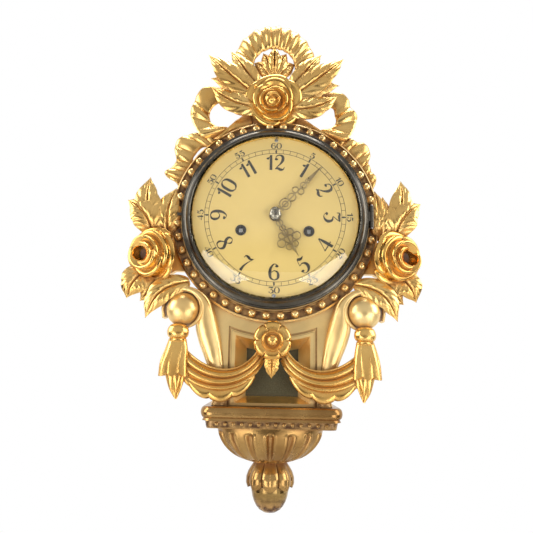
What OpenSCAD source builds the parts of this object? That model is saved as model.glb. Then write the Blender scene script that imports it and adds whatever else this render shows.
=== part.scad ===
// Giltwood cartel wall clock. Millimetres, +Z up, back on the wall at y = 0, front towards -Y.
// Carvings are drawn as reliefs: x to the right, y up the wall, z out from the dial's face.

/* [Case] */
// Distance from the wall to the face of the dial
dial_depth = 84; // [80:1:100]
// Outer radius of the round case
case_r = 92; // [90:0.5:93]
// Wall of the round case
case_wall = 10; // [7:0.5:12]
// Half width of the pendulum box
box_w = 41; // [38:0.5:42]
// Wall of the pendulum box
box_wall = 6; // [4:0.5:8]
// Thickness of the removable back
back_t = 3; // [2:0.5:5]
// Back of the carved front board, measured from the dial's face
board_back = -24; // [-27:0.5:-22]
// Front of the carved front board
board_front = -12; // [-14:0.5:-11]
// Front of the boards behind the crest and the sprays
wing_front = -16; // [-18:0.5:-15]
// Height of the urn's shelf below the dial's centre
shelf_z = -184; // [-190:1:-180]

/* [Beads] */
// Distance from the door's edge to the middle of the beads
bead_gap = 5; // [4.9:0.1:5.2]
// Number of places round the ring
bead_count = 44; // [30:1:48]
// Radius of one bead
bead_r = 4.1; // [3.5:0.1:4.1]
// Width of the beaded moulding
ring_w = 11.6; // [10.8:0.1:12.8]

/* [Dial and hands] */
// Width of the ledge round the dial plate
dial_ledge = 2.8; // [2.6:0.1:5.2]
// Thickness of the dial plate
dial_t = 1.5; // [1:0.1:2.5]
// Distance of each winding hole from the centre line
wind_x = 33.5; // [32:0.5:35]
// Height of the winding holes
wind_y = -15; // [-17:0.5:-13]
// Radius of the winding hole grommets
grommet_r = 5.4; // [4.5:0.1:6.5]
// Length of the minute hand
minute_len = 67; // [60:1:70]
// Length of the hour hand
hour_len = 47; // [40:1:50]
// Angle of the minute hand from twelve, clockwise
minute_at = 42; // [0:1:359]
// Angle of the hour hand from twelve, clockwise
hour_at = 150; // [0:1:359]

/* [Door] */
// Outer radius of the door bezel
bezel_r = 93.2; // [92.8:0.1:93.4]
// Width of the door bezel
bezel_w = 9.6; // [8.8:0.1:13.2]
// Height of the glass dome over the dial
dome_h = 24; // [22:0.5:28]
// Thickness of the glass
glass_t = 2; // [1.5:0.1:2.5]
// Radius of the hinge knuckles
knuckle_r = 2.2; // [2:0.1:2.4]
// Radius of the hinge pin
hinge_pin_r = 1; // [0.8:0.1:1.3]

/* [Carving] */
// The crest and ribbons stand this far off the dial's centre line
crest_x = -3.5; // [-6:0.5:0]
// Radius of the crest rose
crest_rose_r = 27; // [24:0.5:29]
// Radius of the side roses
side_rose_r = 27; // [24:0.5:29]
// Height of the crest rose above the dial's centre
crest_rose_y = 124; // [122:0.5:128]
// Number of pleats in the ribbon arch
fan_pleats = 14; // [10:1:18]
// Radius of the ribbon arch
fan_r = 45; // [43:0.5:47]
// Radius of the scroll eyes
eye_r = 16.5; // [15:0.5:17]
// Radius of the rosette
rosette_r = 18; // [16:0.5:20]
// Number of petals in the rosette
rosette_petals = 6; // [5:1:8]

/* [Urn] */
// Half width of the shelf
shelf_w = 67; // [64:0.5:70]
// Thickness of the shelf's slab
shelf_t = 13; // [11:0.5:15]
// How far the shelf stands out from the dial's face
shelf_front = 1; // [-2:0.5:4]
// Number of beads along the front of the shelf
shelf_beads = 14; // [10:1:18]
// Depth of the bowl
bowl_h = 35; // [30:0.5:38]
// Half width of the bowl at its rim
bowl_w = 54; // [50:0.5:58]
// Number of flutes round the bowl
flutes = 9; // [5:2:13]
// Radius of the acorn cup
cup_r = 24.3; // [20:0.1:26]
// Depth of the acorn cup
cup_h = 26; // [21:0.5:29]
// Length of the nut below the cup
nut_h = 23.5; // [20:0.5:26]

/* [Movement] */
// Half width of the movement plates
plate_w = 52; // [50:0.5:54]
// Top of the movement plates
plate_top = 59; // [57:0.5:60]
// Bottom of the movement plates
plate_bottom = -58; // [-60:0.5:-50]
// Thickness of the movement plates
plate_t = 2; // [1.5:0.1:2.5]
// Front of the front plate, from the dial's face
plate_front = -14; // [-15:0.5:-13.5]
// Distance between the plates
plate_gap = 36; // [35.5:0.5:37]
// Radius of the spring barrels
barrel_r = 20; // [18:0.5:20.5]
// Length of the spring barrels
barrel_h = 18; // [16:0.5:19]
// Length of the pendulum from its pivot to the middle of the bob
pendulum_len = 201; // [190:1:205]
// Radius of the pendulum bob
bob_r = 15; // [12:0.5:16]
// Radial clearance of shafts in their bores
run = 0.05; // [0.02:0.01:0.09]

/* [Hidden] */
$fn = 64;

// Gap between carved pieces that are glued side by side, and the cut that clears a face
fit = 0.2;
eps = 0.01;

// Sizes that follow the door bezel
ring_out = bezel_r + ring_w;
bead_ring_r = bezel_r + bead_gap;
dial_r = bezel_r - dial_ledge;
sight_r = bezel_r - bezel_w;

// Case
wall_h = -dial_depth;
body_back = wall_h + back_t;
case_in = case_r - case_wall;
box_in = box_w - box_wall;
step_in = dial_r - 6.4;
dial_screw_y = step_in - 4.5;
hanger_w = 30;
hanger_y = 60;
key_y = 74;
key_r = 4.5;
slot_r = 2.2;
plate_steel = 2;
screw_r = 1.6;
screw_head = 3;
screw_len = 11;
window_x = 40;
window_top = 119.5;
window_foot = shelf_z + 0.5;
frame_back = board_back;
splay_x = 25.5;
splay_top = 131.5;
splay_foot = shelf_z + 9;
panel_gap = fit;

// Heights of the beaded moulding
channel_h = board_front + 2.2;
bead_h = board_front + 5.3;

// Hinge
hinge_x = bezel_r + knuckle_r + 0.2;
hinge_h = 1;
hinge_low = -10;
hinge_high = 12;
door_low = -3.8;
door_high = 5.8;

// Glass: outer sphere through the edge and the crown
glass_r = sight_r + 3.3;
glass_edge_h = 4.6;
sag = dome_h - glass_edge_h;
glass_sphere = (glass_r * glass_r + sag * sag) / (2 * sag);

// Gear train. A wheel's pitch radius is teeth * module / 2.
great_teeth = 60;
second_leaves = 10;
second_teeth = 60;
centre_leaves = 12;
great_m = 0.8;
centre_teeth = 60;
third_leaves = 6;
centre_m = 0.65;
third_teeth = 60;
escape_leaves = 6;
third_m = 0.6;
escape_teeth = 40;
escape_r = 11;
cannon_teeth = 12;
minute_teeth = 36;
minute_leaves = 10;
hour_teeth = 40;
motion_m = 0.8;
motion_d = (cannon_teeth + minute_teeth) * motion_m / 2;
hour_m = 2 * motion_d / (hour_teeth + minute_leaves);

// Where two circles about a and b with radii ra and rb cross, on the left going from a to b
function crossing(a, ra, b, rb) =
  let (d = norm(b - a), u = (b - a) / d, s = (ra * ra - rb * rb + d * d) / (2 * d),
       q = sqrt(ra * ra - s * s))
  [a[0] + u[0] * s - u[1] * q, a[1] + u[1] * s + u[0] * q];
function pitch(teeth, m) = teeth * m / 2;
function bearing(a, b) = atan2(b[1] - a[1], b[0] - a[0]);
function pol(r, a) = [r * cos(a), r * sin(a)];

barrel_at = [wind_x, wind_y];
second_d = pitch(great_teeth + second_leaves, great_m);
second_to_centre = pitch(second_teeth + centre_leaves, great_m);
second_at = crossing([0, 0], second_to_centre, barrel_at, second_d);
third_d = pitch(centre_teeth + third_leaves, centre_m);
third_at = pol(third_d, 95);
escape_d = pitch(third_teeth + escape_leaves, third_m);
escape_at = [0, third_at[1] + sqrt(escape_d * escape_d - third_at[0] * third_at[0])];
pallet_at = [0, escape_at[1] + escape_r + 3];
minute_wheel_at = [0, -motion_d];
pin_wheel_at = [-second_at[0], second_at[1]];
pin_circle = 12.8;

// Levels in the movement, from the dial's face
inner_front = plate_front - plate_t;
inner_back = inner_front - plate_gap;
back_face = inner_back - plate_t;
second_h = inner_front - 4;
centre_h = inner_front - 9;
great_h = inner_front - 13.5;
barrel_top = great_h - 0.4;
third_h = inner_front - 24;
escape_h = inner_front - 29;
wheel_t = 1.6;
great_t = 2;
arbor_r = 1.5;
wind_r = 2.5;
cannon_r = 2.9;
pipe_r = 4;
hour_h = 3.2;
minute_h = 6.2;
hand_t = 0.8;
cannon_h = plate_front + 2;
pendulum_h = back_face - 8;
crutch_h = back_face - 3;
hammer_h = back_face - 18;
rod_x = -plate_w;
hammer_at = [rod_x + 4, 12];
gong_r = 1.5;
gong_y = 8 - sqrt(case_in * case_in - rod_x * rod_x);
hammer_head = [rod_x + 7.6, round(gong_y + 9.4)];
cock_w = 9;
foot_x = 62;

// Carving heights
ribbon_h = wing_front;
leaf_h = wing_front;
swag_back = board_front + 3.2;
rosette_at = [0, -123.5];
rosette_back = 4.4;
hub_r = 6;
crest_at = [crest_x, crest_rose_y];
side_tilt = 22;
side_rose_x = 117;
side_rose_y = -39;
eye_at = [88, -93.5];
knot_at = [89.5, -119];
neck_r = 12;

module relief() translate([0, -dial_depth, 0]) rotate([90, 0, 0]) children();
module up(h) translate([0, 0, h]) children();
module at(p, h = 0) translate([p[0], p[1], h]) children();
module disc(r, h0, h1) up(h0) cylinder(r = r, h = h1 - h0);
module tube(r_out, r_in, h0, h1) difference() {
  disc(r_out, h0, h1);
  disc(r_in, h0 - 1, h1 + 1);
}
module block(x0, x1, y0, y1, h0, h1) translate([x0, y0, h0]) cube([x1 - x0, y1 - y0, h1 - h0]);
module left_right(s) mirror([s < 0 ? 1 : 0, 0, 0]) children();

// Closed skin over a row of rings with equal numbers of points
module loft(rings) {
  n = len(rings[0]);
  m = len(rings);
  ends = [for (r = [rings[0], rings[m - 1]]) [for (k = [0:2]) mean([for (p = r) p[k]])]];
  pts = concat([for (r = rings) each r], ends);
  skin = concat(
    [for (j = [0:m - 2]) for (i = [0:n - 1]) each [
      [j * n + i, (j + 1) * n + i, (j + 1) * n + (i + 1) % n],
      [j * n + i, (j + 1) * n + (i + 1) % n, j * n + (i + 1) % n]
    ]],
    [for (i = [0:n - 1]) [m * n, i, (i + 1) % n]],
    [for (i = [0:n - 1]) [m * n + 1, (m - 1) * n + (i + 1) % n, (m - 1) * n + i]]
  );
  inside_out = sum([for (f = skin) pts[f[0]] * cross(pts[f[1]], pts[f[2]])]) > 0;
  polyhedron(points = pts, faces = inside_out ? [for (f = skin) [f[0], f[2], f[1]]] : skin);
}
function sum(v) = v * [for (x = v) 1];
function mean(v) = sum(v) / len(v);
function bez(p, t) = let (q = 1 - t)
  q * q * q * p[0] + 3 * q * q * t * p[1] + 3 * q * t * t * p[2] + t * t * t * p[3];

// A grooved leaf from its base to its tip. A bow bends it to its left.
module leaf(base, tip, w, h0, h1, bow = 0, thick = 3.2) {
  run_v = tip - base;
  l = norm(run_v);
  u = run_v / l;
  v = [-u[1], u[0]];
  stations = [0, 0.12, 0.3, 0.5, 0.7, 0.88, 1];
  section = [[-1, 0], [-0.5, 1.7], [0, 0.2], [0.5, 1.7], [1, 0], [0.55, -thick], [-0.55, -thick]];
  rings = [for (s = stations) let (
    c = base + u * l * s + v * bow * sin(180 * s),
    half = 0.35 + w / 2 * pow(max(0, sin(180 * pow(s, 0.8))), 0.8),
    level = h0 + (h1 - h0) * s + 1.5 * sin(180 * s),
    swell = 0.35 + 0.65 * sin(180 * pow(s, 0.8))
  ) [for (q = section) [c[0] + v[0] * half * q[0], c[1] + v[1] * half * q[0], level + q[1] * swell]]];
  loft(rings);
}

// A ribbon of pleats. Each station is [inner edge, outer edge, height, thickness].
module pleated(stations) loft([for (q = stations) let (a = q[0], b = q[1], mid = (a + b) / 2, h = q[2], t = q[3]) [
  [a[0], a[1], h], [mid[0], mid[1], h + 1.4], [b[0], b[1], h],
  [b[0], b[1], h - t], [mid[0], mid[1], h + 1 - t], [a[0], a[1], h - t]
]]);

// One petal of a rose: a curled wall round part of a turn
module petal(r, h, from, span, curl) {
  f = r * 0.5;
  rotate([0, 0, from - span / 2]) rotate_extrude(angle = span) polygon([
    [f - 2, 0.4], [f, 0], [r * 0.95, h * 0.4], [r, h * 0.76], [r + curl, h - 0.8], [r + curl - 0.9, h],
    [r - 1.7, h * 0.85], [r * 0.95 - 2.3, h * 0.46]
  ]);
}

// A cabbage rose, base at z = 0. The first number of each row is a share of its radius, the second of its height.
rose_petals = [
  [0.93, 0.60, 0, 83, 2.4], [0.895, 0.635, 75, 86, 2.2], [0.94, 0.575, 148, 84, 2.2], [0.905, 0.65, 219, 85, 2.3],
  [0.92, 0.615, 291, 87, 2.5], [0.69, 0.82, 40, 131, 1.4], [0.665, 0.86, 162, 133, 1.5], [0.68, 0.8, 282, 134, 1.3],
  [0.445, 0.96, 100, 187, 0.5], [0.43, 1, 278, 191, 0.6]
];
module rose(r, h, turn, bud) {
  for (q = rose_petals) petal(r * q[0], h * q[1], turn + q[2], q[3], q[4]);
  cylinder(r1 = r * 0.52, r2 = r * 0.81, h = h * 0.31);
  cylinder(r1 = r * 0.57, r2 = r * 0.33, h = h * 0.52);
  if (bud) up(h * 0.45) cylinder(r1 = r * 0.27, r2 = r * 0.13, h = h * 0.46);
}

// Clock gear with straight-sided teeth that mesh with clearance
module gear(teeth, m, t, phase) {
  a = 360 / teeth;
  rp = pitch(teeth, m);
  linear_extrude(t) polygon([for (i = [0:teeth - 1])
    for (k = [[-0.3, rp - 0.95 * m], [-0.11, rp + 0.62 * m], [0.11, rp + 0.62 * m], [0.3, rp - 0.95 * m]])
      pol(k[1], phase + (i + k[0]) * a)]);
}
// Wheel rim and four arms round a hub
module crossed_wheel(teeth, m, t, phase) difference() {
  gear(teeth, m, t, phase);
  r_in = pitch(teeth, m) - 3.2;
  for (i = [0:3]) rotate([0, 0, 45 + 90 * i]) up(-1) linear_extrude(t + 2) intersection() {
    difference() {
      circle(r = r_in);
      circle(r = 5);
    }
    translate([0, 0]) polygon([[3, 0], [r_in + 4, r_in], [r_in + 4, -r_in]]);
  }
}

// Case
module box_outline(grow = 0) translate([-box_w - grow, shelf_z - grow]) square([2 * (box_w + grow), -shelf_z - 50]);
module screw_places() for (p = [
  for (a = [25, 155, 200, 340]) pol(case_r - case_wall / 2, a),
  for (s = [-1, 1]) for (y = [-120, -165]) [s * (box_w - box_wall / 2), y]
]) at(p) children();
module case_body() color([0.30, 0.20, 0.11]) relief() difference() {
  union() {
    disc(case_r, body_back, board_back);
    up(body_back) linear_extrude(board_back - body_back) box_outline();
    intersection() {
      disc(case_r, wall_h, body_back + 1);
      block(-hanger_w, hanger_w, hanger_y, case_r, wall_h, body_back + 1);
    }
  }
  difference() {
    union() {
      disc(case_in, wall_h - 1, board_back + 1);
      block(-box_in, box_in, shelf_z + box_wall + 2, -50, wall_h - 1, board_back + 1);
    }
    block(-hanger_w, hanger_w, hanger_y, case_r, wall_h - 2, body_back + 15);
  }
  at([0, key_y], wall_h) {
    up(-1) block(-hanger_w + 8, hanger_w - 8, -11, 11, 0, 1 + plate_steel);
    up(-1) cylinder(r = key_r + 1.5, h = 11);
    block(-key_r, key_r, 0, 8, -1, 10);
    for (s = [-1, 1]) translate([s * (hanger_w - 13), 0, 0]) cylinder(r = screw_r, h = screw_len);
  }
  screw_places() up(body_back - 1) cylinder(r = screw_r, h = screw_len + 1);
}

module back_cover() color([0.34, 0.24, 0.14]) relief() difference() {
  up(wall_h) linear_extrude(back_t) difference() {
    union() {
      circle(r = case_r - 0.4);
      box_outline(-0.4);
    }
    translate([-hanger_w - fit, hanger_y - fit]) square([2 * (hanger_w + fit), case_r]);
  }
  screw_places() up(wall_h - eps) {
    cylinder(r = screw_r, h = back_t + 1);
    cylinder(r1 = screw_head, r2 = screw_r, h = back_t * 0.6);
  }
  for (i = [-3:3]) block(-18, 18, -20 + i * 8, -17 + i * 8, wall_h - 1, wall_h + back_t + 1);
}

module back_screws() color("silver") relief() {
  screw_places() difference() {
    up(wall_h) union() {
      cylinder(r = screw_r - run, h = screw_len);
      cylinder(r1 = screw_head - run, r2 = screw_r - run, h = back_t * 0.6);
    }
    block(-screw_head, screw_head, -0.4, 0.4, wall_h - 1, wall_h + 0.7);
  }
  for (s = [-1, 1]) at([s * (hanger_w - 13), key_y], wall_h) {
    cylinder(r = screw_r - run, h = screw_len - 1);
  }
}

module hanger_plate() color("dimgray") relief() at([0, key_y], wall_h) difference() {
  block(-hanger_w + 8 + fit, hanger_w - 8 - fit, -11 + fit, 11 - fit, 0, plate_steel);
  up(-1) cylinder(r = key_r, h = plate_steel + 2);
  hull() for (y = [0, 8]) translate([0, y, -1]) cylinder(r = slot_r, h = plate_steel + 2, $fn = 32);
  for (s = [-1, 1]) translate([s * (hanger_w - 13), 0, -1]) cylinder(r = screw_r, h = plate_steel + 2);
}

// Edges of the scroll brackets from the volute to the foot: [inner edge, outer edge, crest]
scroll = [
  [[106.5, -97], [109.5, -97], -7], [[104.5, -86], [108.5, -84], -6], [[97, -78.5], [98, -74], -5],
  [[88, -76], [86, -71.5], -4.5], [[78.5, -79.5], [72, -76], -4.5], [[72, -88], [63.5, -85], -5],
  [[71, -97], [58, -97], -6], [[74.5, -106.5], [54, -108], -7.5], [[72, -122], [50.5, -124], -9],
  [[66.5, -138], [48, -140], -10], [[59, -156], [46.5, -158], -10.5], [[54, -172], [46, -173], -11],
  [[54.5, shelf_z], [46.5, shelf_z], -11]
];
scroll_low = 5;

module ring_board() difference() {
  disc(ring_out, board_back, board_front);
  disc(step_in, board_back - 1, board_front + 1);
}
module panel_outline() difference() {
  polygon(concat(
    [for (i = [scroll_low:len(scroll) - 1]) [scroll[i][1][0] - panel_gap, scroll[i][1][1]]],
    [for (i = [len(scroll) - 1:-1:scroll_low]) [-scroll[i][1][0] + panel_gap, scroll[i][1][1]]]
  ));
  circle(r = step_in);
}
// Region under an arc about the dial, between two sides and a foot
function arch(x, top, foot, n = 8) = concat(
  [[-x, foot], [x, foot]],
  [for (i = [0:n]) let (q = x - 2 * x * i / n) [q, -sqrt(top * top - q * q)]]
);
module case_front() color([0.86, 0.64, 0.28]) relief() difference() {
  union() {
    ring_board();
    tube(bezel_r + 0.5, step_in, board_back, -dial_t - 0.1);
    tube(bezel_r + 0.5, dial_r + 0.2, board_back, -0.1);
    for (s = [-1, 1]) block(-6, 6, s < 0 ? -step_in - 2 : dial_screw_y - 5, s < 0 ? -dial_screw_y + 5 : step_in + 2,
      board_back, -dial_t - 0.1);
    up(board_back) linear_extrude(board_front - board_back) panel_outline();
    difference() {
      union() {
        at(crest_at, board_back) cylinder(r = 25, h = wing_front - board_back);
        block(crest_x - 25, crest_x + 25, 90, crest_rose_y, board_back, wing_front);
        for (s = [-1, 1]) {
          at([s * (side_rose_x - 6), side_rose_y], board_back) cylinder(r = 19, h = wing_front - board_back);
          block(s < 0 ? -side_rose_x + 6 : 90, s < 0 ? -90 : side_rose_x - 6, side_rose_y - 15, side_rose_y + 16,
            board_back, wing_front);
        }
      }
      disc(step_in + 2, board_back - 1, board_front);
    }
  }
  for (s = [-1, 1]) at([0, s * dial_screw_y]) disc(1, board_front - 1, 1);
  at(rosette_at, board_back - 1) cylinder(r = hub_r + fit, h = 30);
  up(board_back - 1) linear_extrude(board_front - board_back + 2) polygon(arch(window_x, window_top, shelf_z - 1));
  up(board_front - 1.8) linear_extrude(3) difference() {
    polygon(arch(window_x + 3, window_top - 3, shelf_z - 1));
    polygon(arch(window_x + 1, window_top - 1, shelf_z - 2));
  }
}

module bead_ring() color([0.87, 0.66, 0.30]) relief() {
  rotate_extrude() polygon([
    [bezel_r + 0.7, board_front], [ring_out, board_front], [ring_out, channel_h + 1.8],
    [ring_out - 1.6, channel_h + 3.2], [ring_out - 2.2, channel_h], [bezel_r + 2.2, channel_h],
    [bezel_r + 1.6, channel_h + 1.4], [bezel_r + 0.7, channel_h + 1.4]
  ]);
  for (i = [0:bead_count - 1])
    let (a = 90 - (i + 0.5) * 360 / bead_count, p = pol(bead_ring_r, a))
      if (p[0] < 0 || p[1] < hinge_low - 5 || p[1] > hinge_high + 5)
        rotate([0, 0, a]) translate([bead_ring_r, 0, bead_h]) sphere(r = bead_r);
}

module window_frame() color([0.87, 0.66, 0.30]) relief() difference() {
  up(frame_back) linear_extrude(board_front + 0.8 - frame_back)
    polygon(arch(window_x - fit, window_top + fit, window_foot));
  loft([for (q = [[splay_x, splay_top, splay_foot, frame_back - eps],
                  [window_x - 3.6, window_top + 3, window_foot + 2.5, board_front + 0.9]])
    [for (p = arch(q[0], q[1], q[2])) [p[0], p[1], q[3]]]]);
  at(rosette_at, board_back - 1) cylinder(r = hub_r + fit, h = 30);
}
module window_cloth() color([0.16, 0.15, 0.09]) relief() up(frame_back - 1.6) linear_extrude(1.5)
  polygon(arch(splay_x + 5, splay_top - 5, shelf_z + box_wall + 2.4));

module rosette() color([0.88, 0.68, 0.32]) relief() at(rosette_at) {
  disc(hub_r, board_back, rosette_back + 1);
  difference() {
    up(rosette_back) intersection() {
      cylinder(r = rosette_r, h = 6);
      translate([0, 0, -22]) sphere(r = 28.2);
    }
    for (i = [0:rosette_petals - 1]) rotate([0, 0, 90 + i * 360 / rosette_petals])
      translate([rosette_r * 0.55, -0.5, rosette_back + 1.6]) cube([rosette_r, 1, 8]);
    up(rosette_back + 3) cylinder(r = rosette_r * 0.42, h = 8);
  }
  up(rosette_back + 2.4) rotate_extrude() translate([rosette_r * 0.42, 0]) circle(r = 2.6);
  up(rosette_back + 3.4) sphere(r = rosette_r * 0.29);
  hull() for (q = [[-14, 5], [-20, 5.6], [-30, 5]])
    translate([0, q[0], rosette_back - 1]) intersection() {
      sphere(r = q[1], $fn = 20);
      up(4) cube([30, 30, 8], center = true);
    }
}

// Crest
module crest_fan() color([0.86, 0.65, 0.29]) relief() {
  centre = [crest_x, 177];
  steps = fan_pleats * 2;
  pleated([for (i = [0:steps]) let (
    t = 1 - 2 * i / steps,
    ridge = i % 2,
    r_in = 17 + 6 * pow(abs(t), 1.5),
    r_out = fan_r - 1.5 + 1.5 * ridge + 1.2 * sin(t * 270)
  ) [centre + pol(r_in, 90 + 112 * t), centre + pol(r_out, 90 + 84 * t), ribbon_h - 3.5 + ridge * 4, 4.5]]);
}

module crest_palmette() color([0.85, 0.63, 0.28]) relief() {
  foot = [crest_x, crest_rose_y + crest_rose_r + 2];
  for (q = [[-60, 22, 11], [-31, 28, 12], [0, 39, 13], [31, 28, 12], [60, 22, 11]])
    let (tip = foot + pol(q[1], 90 - q[0]), mid = foot + pol(q[1] * 0.62, 90 - q[0]))
      hull() {
        at(foot, ribbon_h - 3) cylinder(r = 3.5, h = 4, $fn = 8);
        at(mid, ribbon_h - 1) sphere(r = q[2] / 2, $fn = 10);
        at(tip, ribbon_h - 2) sphere(r = 2.2, $fn = 8);
      }
  at(foot, ribbon_h - 3) hull() {
    block(-9, 9, -3.4, 0, 0, 3.5);
    block(-6, 6, 0, 4, 0, 3.5);
  }
}

// Leaves of the crest on the right hand side: [base, tip, width, tip height, bow]
crest_set = [
  [[8, 17], [48, 61], 18, -3, 3], [[15, 12], [71, 56], 19, -1, -3], [[17, 7], [68, 28], 19, 0, 5],
  [[18, -2], [63, 14], 17, -2, -6], [[4, 17], [33, 60], 14, -8, 2]
];
module crest_leaves() color([0.86, 0.64, 0.28]) relief() difference() {
  translate([crest_x, crest_rose_y, 0]) {
    for (s = [-1, 1]) left_right(s) for (q = crest_set)
      leaf(q[0], q[1], q[2], leaf_h + 5, q[3], q[4]);
    up(leaf_h) cylinder(r = 22, h = 4, $fn = 40);
  }
  at(crest_at, leaf_h - 1) cylinder(r = neck_r + fit, h = 30);
  disc(ring_out + 0.5, leaf_h - 9, 20);
}

// Ribbon loop and pleated tail. The loop goes round its own hole, the tail follows the beads.
loop_c = [54, 115];
function reach(c, a, r) =
  let (d = [cos(a), sin(a)], k = c * d, q = k * k - (c * c - r * r))
  (k < 0 && q > 0) ? -k - sqrt(q) : 1000;
module ribbon(s) {
  shift = crest_x * s;
  steps = 30;
  loop = [for (i = [0:steps]) let (
    a = 62 + 262 * i / steps,
    ridge = i % 2,
    d = pol(1, a),
    r_out = min(33.5 + 1.2 * ridge, reach(loop_c + [shift, 0], a, ring_out + 0.6)),
    r_in = min(14.5 + 2.5 * abs(cos(a)), r_out - 2)
  ) [loop_c + d * r_in, loop_c + d * r_out, ribbon_h - 4 + ridge * 2.2 + 3 * (1 - cos(a)) / 2, 5]];
  tail = [for (i = [0:22]) let (
    t = i / 22,
    a = 50 - 26 * t,
    ridge = i % 2,
    r_in = lookup(t, [[0, 108], [0.12, ring_out + 0.6], [0.2, ring_out + 4], [0.3, ring_out + 0.6], [1, ring_out + 0.6]]),
    r_out = lookup(t, [[0, 122], [0.32, 130.5], [0.6, 122], [0.75, 118], [1, 122]]) + 1.2 * ridge
  ) [pol(r_in, a) - [shift, 0], pol(r_out, a), ribbon_h - 4.5 + ridge * 3.5, 4.5]];
  difference() {
    translate([crest_x, 0, 0]) left_right(s) {
      pleated([for (i = [0:len(loop) - 1]) loop[i]]);
      pleated(tail);
      up(board_back + 1) linear_extrude(wing_front - board_back - 1.4) polygon([[26, 99], [26, 117], [41, 116], [48, 99]]);
    }
    disc(ring_out + fit, board_back - 1, 20);
    block(crest_x - 25 - fit, crest_x + 25 + fit, 90, crest_rose_y, board_back - 1, 20);
    at(crest_at, board_back - 1) cylinder(r = 25 + fit, h = 30);
  }
}
module left_ribbon() color([0.85, 0.64, 0.30]) relief() ribbon(-1);
module right_ribbon() color([0.85, 0.64, 0.30]) relief() ribbon(1);

// Side sprays round each rose: [base, tip, width, tip height, bow], from the rose's centre
spray_set = [
  [[-14, 20], [-21, 67], 12, -9, -1], [[-8, 20], [-9, 60], 13, -6, 0], [[0, 22], [5, 79], 19, -1, 2],
  [[8, 20], [27, 54], 19, 0, 3], [[16, 14], [24, 38], 14, -3, -4], [[6, -20], [20, -43], 16, -1, -3],
  [[-8, -20], [-2, -62], 16, 0, 6], [[-22, -22], [-8, -55], 13, -5, 6]
];
module spray(s) difference() {
  translate([s * side_rose_x, side_rose_y, 0]) {
    left_right(s) for (q = spray_set) leaf(q[0], q[1], q[2], leaf_h + 4.5, q[3], q[4]);
    up(leaf_h) cylinder(r = 23, h = 4, $fn = 40);
  }
  at([s * side_rose_x, side_rose_y], leaf_h - 1) cylinder(r = neck_r + fit, h = 40);
  at([s * side_rose_x, side_rose_y], wing_front + 7) rotate([0, s * side_tilt, 0]) up(-0.4)
    cylinder(r1 = side_rose_r * 0.66, r2 = side_rose_r + 3.4, h = 17);
  disc(ring_out + 0.4, leaf_h - 9, 40);
  at([s * eye_at[0], eye_at[1]], leaf_h - 20) cylinder(r = 24, h = 60);
}
module left_leaves() color([0.86, 0.64, 0.28]) relief() spray(-1);
module right_leaves() color([0.86, 0.64, 0.28]) relief() spray(1);

module crest_rose() color([0.88, 0.66, 0.28]) relief() at(crest_at, wing_front) {
  cylinder(r = neck_r, h = 8);
  up(5) rose(crest_rose_r, 25, 18, true);
}
module side_rose(s) at([s * side_rose_x, side_rose_y], wing_front) {
  cylinder(r = neck_r, h = 9);
  up(7) rotate([0, s * side_tilt, 0]) rose(side_rose_r, 27, 90 + s * 20, false);
}
module left_rose() color([0.88, 0.66, 0.28]) relief() side_rose(-1);
module right_rose() color([0.88, 0.66, 0.28]) relief() side_rose(1);

// Scroll bracket: two rolls with a valley, and the eye in its volute
module bracket(s) left_right(s) {
  difference() {
    loft([for (q = scroll) let (a = q[0], b = q[1], h = q[2]) [
      [a[0], a[1], h - 4], each [for (k = [[0.2, 0], [0.45, -1.6], [0.62, -1.4], [0.84, 0]])
        [a[0] + (b[0] - a[0]) * k[0], a[1] + (b[1] - a[1]) * k[0], h + k[1]]],
      [b[0], b[1], h - 4], [b[0], b[1], board_back], [a[0], a[1], board_back]
    ]]);
    disc(ring_out + 0.1, board_back - 1, 20);
  }
  at(eye_at, -8.5) sphere(r = eye_r);
}
module left_bracket() color([0.90, 0.74, 0.40]) relief() bracket(-1);
module right_bracket() color([0.90, 0.74, 0.40]) relief() bracket(1);

// Swag of cloth from the rosette to the knot, with a scalloped lining under it
swag_top = [[15, -131], [28, -156], [60, -157], [80, -130]];
swag_low = [[8, -139], [20, -172], [68, -180], [79, -152]];
folds = [[0, 0], [0.1, 7], [0.24, 8.4], [0.34, 6.2], [0.46, 8], [0.56, 5.6], [0.68, 7], [0.78, 4.6], [0.9, 5.4], [1, 1]];
module swag(s) left_right(s) {
  loft([for (i = [0:12]) let (t = i / 12, a = bez(swag_top, t), b = bez(swag_low, t), sw = 0.55 + 0.45 * sin(180 * t))
    concat([for (f = folds) [a[0] + (b[0] - a[0]) * f[0], a[1] + (b[1] - a[1]) * f[0], swag_back + 0.6 + f[1] * sw]],
      [[b[0], b[1], swag_back], [(a[0] + b[0]) / 2, (a[1] + b[1]) / 2, swag_back], [a[0], a[1], swag_back]])]);
  loft([for (i = [0:8]) let (t = 0.2 + 0.78 * i / 8, b = bez(swag_low, t), k = 10 * sin(180 * i / 8) + 1 + 1.6 * (i % 2))
    [[b[0], b[1] + 3, swag_back + 2.6], [b[0], b[1] - k * 0.5, swag_back + 3.4 + (i % 2)], [b[0], b[1] - k, swag_back + 1.6],
     [b[0], b[1] - k, swag_back], [b[0], b[1] + 3, swag_back]]]);
}
module left_swag() color([0.87, 0.67, 0.33]) relief() swag(-1);
module right_swag() color([0.87, 0.67, 0.33]) relief() swag(1);

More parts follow.
